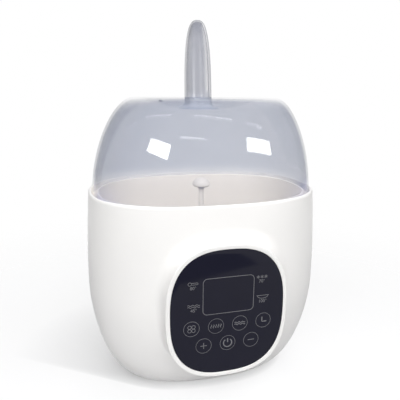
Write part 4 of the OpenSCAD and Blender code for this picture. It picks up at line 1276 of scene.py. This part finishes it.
def make_floor():
    """A round pale floor that fades out into the white surroundings, with a soft shadow by the object."""
    studio = bpy.context.scene.warmer_studio
    whole = (0.0, 1.0)
    material = bpy.data.materials.new("pale_floor")
    bench = NodeBench(material)
    bench.nodes.clear()
    where = bench.add("TexCoord").outputs["Object"]
    away = bench.operate("VectorMath", "DOT_PRODUCT", where, SHADOW_WAY).outputs["Value"]
    left = bench.step(bench.split(where)["X"], millimetres(SHADOW_LEFT))
    shadow_side = bench.product(bench.step(away, millimetres(SHADOW_BEHIND)), left)
    reach = bench.step(shadow_side, whole, studio.contact, studio.far_contact)
    deepest = bench.step(shadow_side, whole, studio.contact_glow, studio.far_glow)
    unshaded = bench.add("AmbientOcclusion", Distance=reach).outputs["AO"]
    glow = bench.add("Emission", Strength=bench.spread(unshaded, deepest, studio.floor_glow))
    matt = bench.add("BsdfDiffuse", Color=(*studio.floor_tint, 1.0))
    to_camera = bench.add("LightPath").outputs["Is Camera Ray"]
    glow_share = bench.spread(to_camera, 0.0, studio.floor_glow_share)
    lit = bench.blend(glow_share, matt.outputs["BSDF"], glow.outputs["Emission"])
    from_middle = bench.operate("VectorMath", "LENGTH", where).outputs["Value"]
    clear = bench.add("BsdfTransparent").outputs["BSDF"]
    bench.add("OutputMaterial", Surface=bench.blend(bench.step(from_middle, FLOOR_FADE), lit, clear))
    columns = 96
    rings = 24
    angle = even_turn(columns)
    spans = np.linspace(0, FLOOR_RADIUS, rings)[:, None]
    grid = np.stack([spans * np.cos(angle), spans * np.sin(angle), 0 * spans * angle], -1)
    floor = stage_sheet("floor", grid, True, material)


def make_world():
    """White surroundings for the camera, gloss and glass, and a plain level of light for the rest."""
    world = bpy.data.worlds.new("white_room")
    bpy.context.scene.world = world
    bench = NodeBench(world)
    ground = bench.nodes["Background"].inputs
    ground["Color"].default_value = (1.0, 1.0, 1.0, 1.0)
    rays = bench.add("LightPath").outputs
    seen = bench.math("MAXIMUM", rays["Is Camera Ray"], rays["Is Glossy Ray"])
    seen = bench.math("MAXIMUM", seen, rays["Is Transmission Ray"])
    bench.feed(ground["Strength"], bench.spread(seen, bpy.context.scene.warmer_studio.world_light, 1.0))


def add_lamp(name, spot, aim, size_x, size_y, tilt, level):
    """A soft rectangular lamp with a face of a given brightness, tilted in degrees, that isn't seen itself.

    Its power is the face's brightness times its area times pi.
    """
    data = bpy.data.lights.new(name, "AREA")
    data.shape = "RECTANGLE"
    data.size = size_x
    data.size_y = size_y
    data.energy = level * math.pi * size_x * size_y
    lamp = bpy.data.objects.new(name, data)
    bpy.context.scene.collection.objects.link(lamp)
    towards = (Vector(aim) - Vector(spot)).to_track_quat("-Z", "Y").to_matrix().to_4x4()
    lamp.matrix_world = Matrix.Translation(spot) @ towards @ Matrix.Rotation(math.radians(tilt), 4, "Z")
    lamp.visible_camera = False
    return lamp


def add_tube(name, start, end, level):
    """A thin tube lamp between two places, turned to the lid, which only gloss shows."""
    start = Vector(start)
    end = Vector(end)
    middle = (start + end) / 2
    lamp = add_lamp(name, middle, DOME_MIDDLE, (end - start).length, TUBE_THICKNESS, 0, level)
    along = (end - start).normalized()
    aside = (middle - Vector(DOME_MIDDLE)).cross(along).normalized()
    turn = Matrix((along, aside, along.cross(aside))).transposed().to_4x4()
    lamp.matrix_world = Matrix.Translation(middle) @ turn
    lamp.visible_diffuse = False


def make_lamps():
    """Two softboxes and five thin tubes, whose mirror images lie on the lid's front, and five wide lamps.

    The softboxes and tubes are for gloss only, and the wide lamps make no mirror images.
    """
    studio = bpy.context.scene.warmer_studio
    for name, spot, aim, width, height, tilt, level in SOFTBOXES:
        box = add_lamp(name, spot, aim, width, height, tilt, getattr(studio, level))
        box.visible_diffuse = False
    for number, (start, end) in enumerate(TUBES, 1):
        add_tube(f"tube_{number}", start, end, studio.tube_level)
    for name, spot, side, level in WIDE_LAMPS:
        lamp = add_lamp(name, spot, OBJECT_MIDDLE, side, side, 0, getattr(studio, level))
        lamp.visible_glossy = False


def make_flag():
    """A dark flag on the floor before the object, which only gloss shows, as a dark end of the room."""
    tint = (0.2, 0.21, 0.25, 1.0)
    material = bpy.data.materials.new("dark_flag")
    shader = NodeBench(material).nodes["Principled BSDF"].inputs
    shader["Base Color"].default_value = tint
    shader["Roughness"].default_value = 1.0
    lift = 2 * MM
    near = np.array([[-0.55, -0.18, lift], [0.165, -0.41, lift]])
    far = near + np.array([-0.1, -0.45, 0.0])
    flag = stage_sheet("flag", np.stack([near, far]), False, material)
    show_in_gloss_only(flag)


def make_card():
    """A dark curved card behind the object, which only gloss shows, so that edges stand out from white."""
    studio = bpy.context.scene.warmer_studio
    radius = 1.4
    half_spread = math.radians(70)
    top = 1.5
    columns = 41
    rows = 7
    material = bpy.data.materials.new("dark_card")
    bench = NodeBench(material)
    bench.nodes.clear()
    face = bench.add("Emission", Strength=studio.card_level)
    bench.add("OutputMaterial", Surface=face.outputs["Emission"])
    ahead = math.atan2(studio.forward[1], studio.forward[0])
    angle = ahead + np.linspace(-half_spread, half_spread, columns)
    height = np.linspace(0, top, rows)[:, None]
    x = radius * np.cos(angle) + 0 * height
    y = radius * np.sin(angle) + 0 * height
    card = stage_sheet("card", np.stack([x, y, height + 0 * angle], -1), False, material)
    show_in_gloss_only(card)


def make_camera():
    """The camera at the photograph's place, from its direction of view and roll."""
    studio = bpy.context.scene.warmer_studio
    data = bpy.data.cameras.new("camera")
    data.sensor_width = 36.0
    data.lens = studio.lens
    camera = bpy.data.objects.new("camera", data)
    bpy.context.scene.collection.objects.link(camera)
    forward = Vector(studio.forward).normalized()
    right = forward.cross(Vector((0, 0, 1))).normalized()
    up = right.cross(forward)
    tilted_right = right * math.cos(studio.roll) + up * math.sin(studio.roll)
    tilted_up = up * math.cos(studio.roll) - right * math.sin(studio.roll)
    turn = Matrix((tilted_right, tilted_up, -forward)).transposed().to_4x4()
    spot = Matrix.Translation((studio.camera_x, studio.camera_y, studio.camera_z))
    camera.matrix_world = spot @ turn
    bpy.context.scene.camera = camera
    bpy.context.scene.view_settings.view_transform = "Standard"


class WarmerStage(bpy.types.Operator):
    """Makes the pale floor, the soft lamps, the white surroundings and the camera."""

    bl_idname = "warmer.stage"
    bl_label = "Stage"

    def execute(self, context):
        make_floor()
        make_flag()
        make_card()
        make_world()
        make_lamps()
        make_camera()
        return {"FINISHED"}


class WarmerSidebar(bpy.types.Panel):
    """Lists the steps in the 3D view's sidebar."""

    bl_idname = "VIEW3D_PT_warmer"
    bl_label = "Bottle Warmer"
    bl_space_type = "VIEW_3D"
    bl_region_type = "UI"
    bl_category = "Warmer"

    def draw(self, context):
        for step in STEPS:
            self.layout.operator(step.bl_idname)


SETTINGS = {
    "warmer_pot": PotSettings,
    "warmer_panel": PanelSettings,
    "warmer_lid": LidSettings,
    "warmer_tank": TankSettings,
    "warmer_studio": StudioSettings,
}
STEPS = (WarmerInside, WarmerHousing, WarmerPanel, WarmerTank, WarmerLid, WarmerStage)


def register():
    """Registers the settings, the steps and the sidebar."""
    for name, group in SETTINGS.items():
        bpy.utils.register_class(group)
        setattr(bpy.types.Scene, name, PointerProperty(type=group))
    for step in STEPS:
        bpy.utils.register_class(step)
    bpy.utils.register_class(WarmerSidebar)


def unregister():
    """Takes back what register() added."""
    bpy.utils.unregister_class(WarmerSidebar)
    for step in reversed(STEPS):
        bpy.utils.unregister_class(step)
    for name, group in SETTINGS.items():
        delattr(bpy.types.Scene, name)
        bpy.utils.unregister_class(group)


def main():
    """Runs every step."""
    register()
    bpy.ops.warmer.inside()
    bpy.ops.warmer.housing()
    bpy.ops.warmer.panel()
    bpy.ops.warmer.tank()
    bpy.ops.warmer.lid()
    bpy.ops.warmer.stage()


if __name__ == "__main__":
    main()
